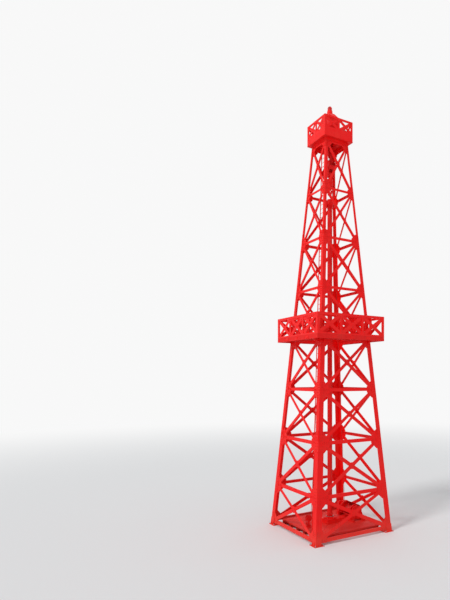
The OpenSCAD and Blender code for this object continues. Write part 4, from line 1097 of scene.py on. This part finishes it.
crown_x = (np.arange(5) - 2) * SHEAVE_PITCH
block_x = (np.arange(4) - 1.5) * SHEAVE_PITCH
turn = np.linspace(-DEAD_LEAN - 2.2 * np.pi, -DEAD_LEAN, 60)
radius = ANCHOR_R + LINE_R
anchor_coil = np.stack([ANCHOR_X + radius * np.cos(turn),
                        -PITCH_R - ROPE_WRAP * (turn[-1] - turn) / (2 * np.pi),
                        ANCHOR_Z + radius * np.sin(turn)], 1)
wraps = (PITCH_R + 0.45) / ROPE_WRAP
radius = DRUM_R + LINE_R
turn = FAST_LEAN + np.linspace(0, 2 * np.pi * wraps, int(wraps * 72))
drum_coil = np.stack([WORKS_X - radius * np.cos(turn),
                      PITCH_R - ROPE_WRAP * (turn - turn[0]) / (2 * np.pi),
                      DRUM_Z - radius * np.sin(turn)], 1)
runs = [straight_run(anchor_coil[-1], (crown_x[0], -PITCH_R, AXLE_Z)), half_turn(crown_x[0], AXLE_Z, 1)]
for down, x, up in zip(crown_x, block_x, crown_x[1:]):
    runs += [straight_run((down, PITCH_R, AXLE_Z), (x, PITCH_R, BLOCK_AXLE_Z)),
             half_turn(x, BLOCK_AXLE_Z, -1),
             straight_run((x, -PITCH_R, BLOCK_AXLE_Z), (up, -PITCH_R, AXLE_Z)),
             half_turn(up, AXLE_Z, 1)]
runs.append(straight_run((crown_x[-1], PITCH_R, AXLE_Z), drum_coil[0]))
# The strands are counted from X, the sheaves' axle, and at both coils from Y, the coils' axle.
swing = [np.ones(len(anchor_coil)), np.linspace(1, 0, len(runs[0])),
         *(np.zeros(len(r)) for r in runs[1:-1]),
         np.linspace(0, 1, len(runs[-1])), np.ones(len(drum_coil))]
route, swing = np.concatenate([anchor_coil, *runs, drum_coil]), np.concatenate(swing) * np.pi / 2
keep = np.concatenate([[True], np.linalg.norm(np.diff(route, axis=0), axis=1) > 1e-4])
route, swing = route[keep], swing[keep]
along = np.concatenate([[0], np.cumsum(np.linalg.norm(np.diff(route, axis=0), axis=1))])
greased_rope = mottled_material("greased_rope", "TexNoise", (0.42, 0.010, 0.008),
                                (0.80, 0.020, 0.015), 0.35, 0.38, Scale=3.0, Detail=5.0)
strands = LINE_R * np.where(np.arange(12) % 2, 0.78, 1.0)
facing = np.stack([np.cos(swing), np.sin(swing), 0 * swing], 1)
make_piece("wire_rope", [tube(route, strands, facing, 12, 2 * np.pi * along / LAY)],
           greased_rope, "wire_rope", smooth=True, replaced=("drilling_line",))
dress(greased_rope, "drilling_line")


# Travelling block
# Two thick cheeks round the lower sheaves, edged with welded bar, weighted with plates and
# held together by through bolts with spacers; guards keep the line in its grooves.
CHEEK_OUT, CHEEK_IN, BLOCK_FOOT, BOLT_R, RIM_BEND = 0.265, 0.225, 24.540, 0.325, 0.351
over = np.radians(np.linspace(184, -4, 30))
rim_end = BLOCK_FOOT + 0.012
rim = spread([-0.191, *RIM_BEND * np.cos(over), 0.191],
             [rim_end, *BLOCK_AXLE_Z + RIM_BEND * np.sin(over), rim_end], 0.004)
ray = np.radians([55, 90, 125, 215, 250, 290, 325])
bolt_u, bolt_v = BOLT_R * np.cos(ray), BLOCK_AXLE_Z + BOLT_R * np.sin(ray)
block, block_bolts = [], []
for side in (1, 3):
    face = CHEEK_OUT * OUT[side]
    hub = face + (0, 0, BLOCK_AXLE_Z)
    block += stand(side, face, tube(rim, 0.013, UP),
                   drawn([(-0.235, 25.10), (0.235, 25.10), (0.150, 24.64), (-0.150, 24.64)],
                         -0.001, 0.016))
    block += stand(side, hub, revolved([(0.0605, -0.001), (0.135, -0.001), (0.135, 0.010),
                                        (0.100, 0.017), (0.0605, 0.017)], 36),
                   prism_rings(32, [0.0595, 0.0595, 0.052], [0.018, 0.023, 0.027]))
    block_bolts += [studs(side, face, [-0.200, 0.200, 0.135, -0.135, 0.0, 0.0],
                          [25.06, 25.06, 24.68, 24.68, 25.06, 24.68], 0.016, 0.9),
                    studs(side, hub, *circle(8, 0.118), 0.010, 0.6),
                    studs(side, face, bolt_u, bolt_v, 0.0, 1.0)]
for y, z in zip(bolt_u, bolt_v):
    block.append(rod((-CHEEK_IN - 0.001, y, z), (CHEEK_IN + 0.001, y, z), 0.018, UP, 12))
for s, side in ((-1, 0), (1, 2)):
    guard = [(s * 0.338, 25.26), (s * 0.350, 25.26), (s * 0.290, 24.985), (s * 0.278, 24.985)]
    block += stand(1, ORIGIN, drawn(guard, -CHEEK_IN - SUNK, CHEEK_IN + SUNK))
    block += stand(side, (0.0, s * 0.180, BLOCK_FOOT),
                   chamfered((-0.205, 0.030, -0.001), (0.205, 0.210, 0.014), 0.004))
    block_bolts.append(studs(side, (0.0, s * 0.180, BLOCK_FOOT),
                             *grid_of([-0.17, 0.0, 0.17], [0.065, 0.175]), 0.014, 0.9))
make_piece("block_fittings", block, *machine)
bolts("block_bolts", block_bolts, *machine)


# Hook
# A forged hook on a spring barrel: bands and a bolted cap close the barrel, nuts hold the
# link ears, and a latch shuts the hook's mouth.
HOOK_TOP = BLOCK_FOOT - SEAT
EAR_X, EAR_DROP, MOUTH_DROP = 0.375, 0.640, 1.080
barrel = [revolved(band(0.2085, 0.222, -d - 0.028, -d + 0.028), 48) for d in (0.215, 0.450, 0.660)]
barrel += [revolved([(0.089, -0.181), (0.180, -0.181), (0.180, -0.160), (0.130, -0.140),
                     (0.100, -0.100), (0.089, -0.100)], 48),
           revolved(band(0.0885, 0.115, -0.046, -0.006), 40)]
rib, rib_faces = chamfered((-0.010, 0.206, -0.640), (0.010, 0.219, -0.245), 0.003)
x, y, z = rib.T
for a in np.pi / 3 * (np.arange(6) + 0.5):
    c, s = math.cos(a), math.sin(a)
    barrel.append((np.stack([c * x - s * y, s * x + c * y, z], 1), rib_faces))
for side, x in ((1, EAR_X), (3, -EAR_X)):
    barrel += stand(side, (x, 0.0, -EAR_DROP),
                    prism_rings(6, [0.062, 0.070, 0.070, 0.062], [-0.001, 0.004, 0.036, 0.040]),
                    prism_rings(16, [0.036, 0.036, 0.030], [0.039, 0.056, 0.060]))
barrel += stand(1, (0, 0, -MOUTH_DROP), drawn([(-0.062, 0.190), (-0.048, 0.172), (-0.160, 0.070),
                                               (-0.182, 0.086)], -0.024, 0.024))
barrel.append(moved(rod((-0.075, -0.062, 0.186), (0.075, -0.062, 0.186), 0.014, UP, 12), 0, 0,
                    -MOUTH_DROP))
make_piece("hook_fittings", [moved(joined(barrel), 0, 0, HOOK_TOP)], *machine)
bolts("hook_bolts", [upright_studs(*circle(10, 0.155), HOOK_TOP - 0.160, 0.7),
                     upright_studs(*circle(12, 0.193), HOOK_TOP - 0.180, 0.55)], *machine)


# Elevator
# A hinged collar that closes under the casing's coupling and hangs from two forged links;
# a spring latch locks it, and the crew swing it by its handles.
GRIP_TOP, LINK_DROP, LINKS = 22.6897, 0.150, ((1, 0.370), (3, -0.370))
collar = [revolved(band(0.2385, 0.252, -d - 0.022, -d + 0.022), 64) for d in (0.045, 0.255)]
collar.append(revolved([(0.1705, -0.330), (0.190, -0.330), (0.205, -0.2995), (0.1705, -0.2995)], 64))
pin = prism_rings(16, [0.018, 0.022, 0.022, 0.018], [-0.290, -0.286, -0.014, -0.010])
collar.append(moved(pin, 0, 0.262, 0))
for low, high in ((-0.275, -0.205), (-0.185, -0.115), (-0.095, -0.025)):
    knuckle = prism_rings(20, [0.034, 0.036, 0.036, 0.034], [low, low + 0.004, high - 0.004, high])
    collar += [moved(knuckle, 0, 0.262, 0),
               chamfered((-0.075, 0.215, low + 0.002), (0.075, 0.250, high - 0.002), 0.006)]
collar += [chamfered((-0.090, -0.272, -0.235), (0.060, -0.225, -0.065), 0.010),
           chamfered((0.045, -0.292, -0.190), (0.100, -0.228, -0.110), 0.008),
           tube(bent([(-0.060, -0.270, -LINK_DROP), (-0.060, -0.340, -LINK_DROP),
                      (0.050, -0.350, -LINK_DROP)], 0.03), 0.012, UP, 10)]
collar += [handle(a, [(0.222, -0.075, -LINK_DROP), (0.330, -0.075, -LINK_DROP),
                      (0.330, 0.075, -LINK_DROP), (0.222, 0.075, -LINK_DROP)], 0.04, 0.011, UP, 10)
           for a in np.radians([-140, -40, 40, 140])]
for side, x in LINKS:
    collar += stand(side, (x, 0.0, -LINK_DROP),
                    prism_rings(24, [0.076, 0.080, 0.080, 0.070], [-0.014, -0.010, 0.006, 0.012]))
make_piece("elevator_fittings", [moved(joined(collar), 0, 0, GRIP_TOP)], *machine)
bolts("elevator_bolts", [studs(side, (x, 0.0, GRIP_TOP - LINK_DROP), *circle(4, 0.052), 0.012, 0.5)
                         for side, x in LINKS], *machine)


# Casing string
# Joints of seamless pipe with a dull red mill coat, screwed together by couplings with
# bevelled ends; elevator and slips have scuffed them.
casing_red = paint_material("casing_red", (0.80, 0.008, 0.007), (0.66, 0.05, 0.035),
                            wear=0.6, streaks=0.5, dust_height=1.2, roughness=0.5)
dress(casing_red, "casing_string")
PIPE_R, COUPLING_R, JOINT_Z, CASING_TOP = 0.170, 0.183, 10.9497, 22.950
under_coupling = [(PIPE_R - 0.001, -0.278), (PIPE_R, -0.278), (COUPLING_R - 0.001, -0.262),
                  (COUPLING_R - 0.001, -0.2595), (PIPE_R - 0.001, -0.2595)]
on_coupling = [(PIPE_R - SUNK, 0.0002), (COUPLING_R - 0.004, 0.0002), (PIPE_R + 0.001, 0.014),
               (PIPE_R - SUNK, 0.014)]
mouth = [(0.160, -SUNK), (0.179, -SUNK), (0.174, 0.008), (0.162, 0.008)]
rings = [band(COUPLING_R - 0.001, COUPLING_R + 0.0022, low, low + 0.010) for low in (-0.236, -0.034)]
bevels = [moved(revolved(profile, 64), 0, 0, z) for profile, z in (
    (under_coupling, JOINT_Z), *product(rings, [JOINT_Z]), *product(rings, [CASING_TOP]),
    (on_coupling, JOINT_Z), (mouth, CASING_TOP))]
make_piece("coupling_bevels", bevels, casing_red, "casing_paint")

size = {"cad": [list(c) for c in cad_box], "visual": [list(c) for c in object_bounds()]}
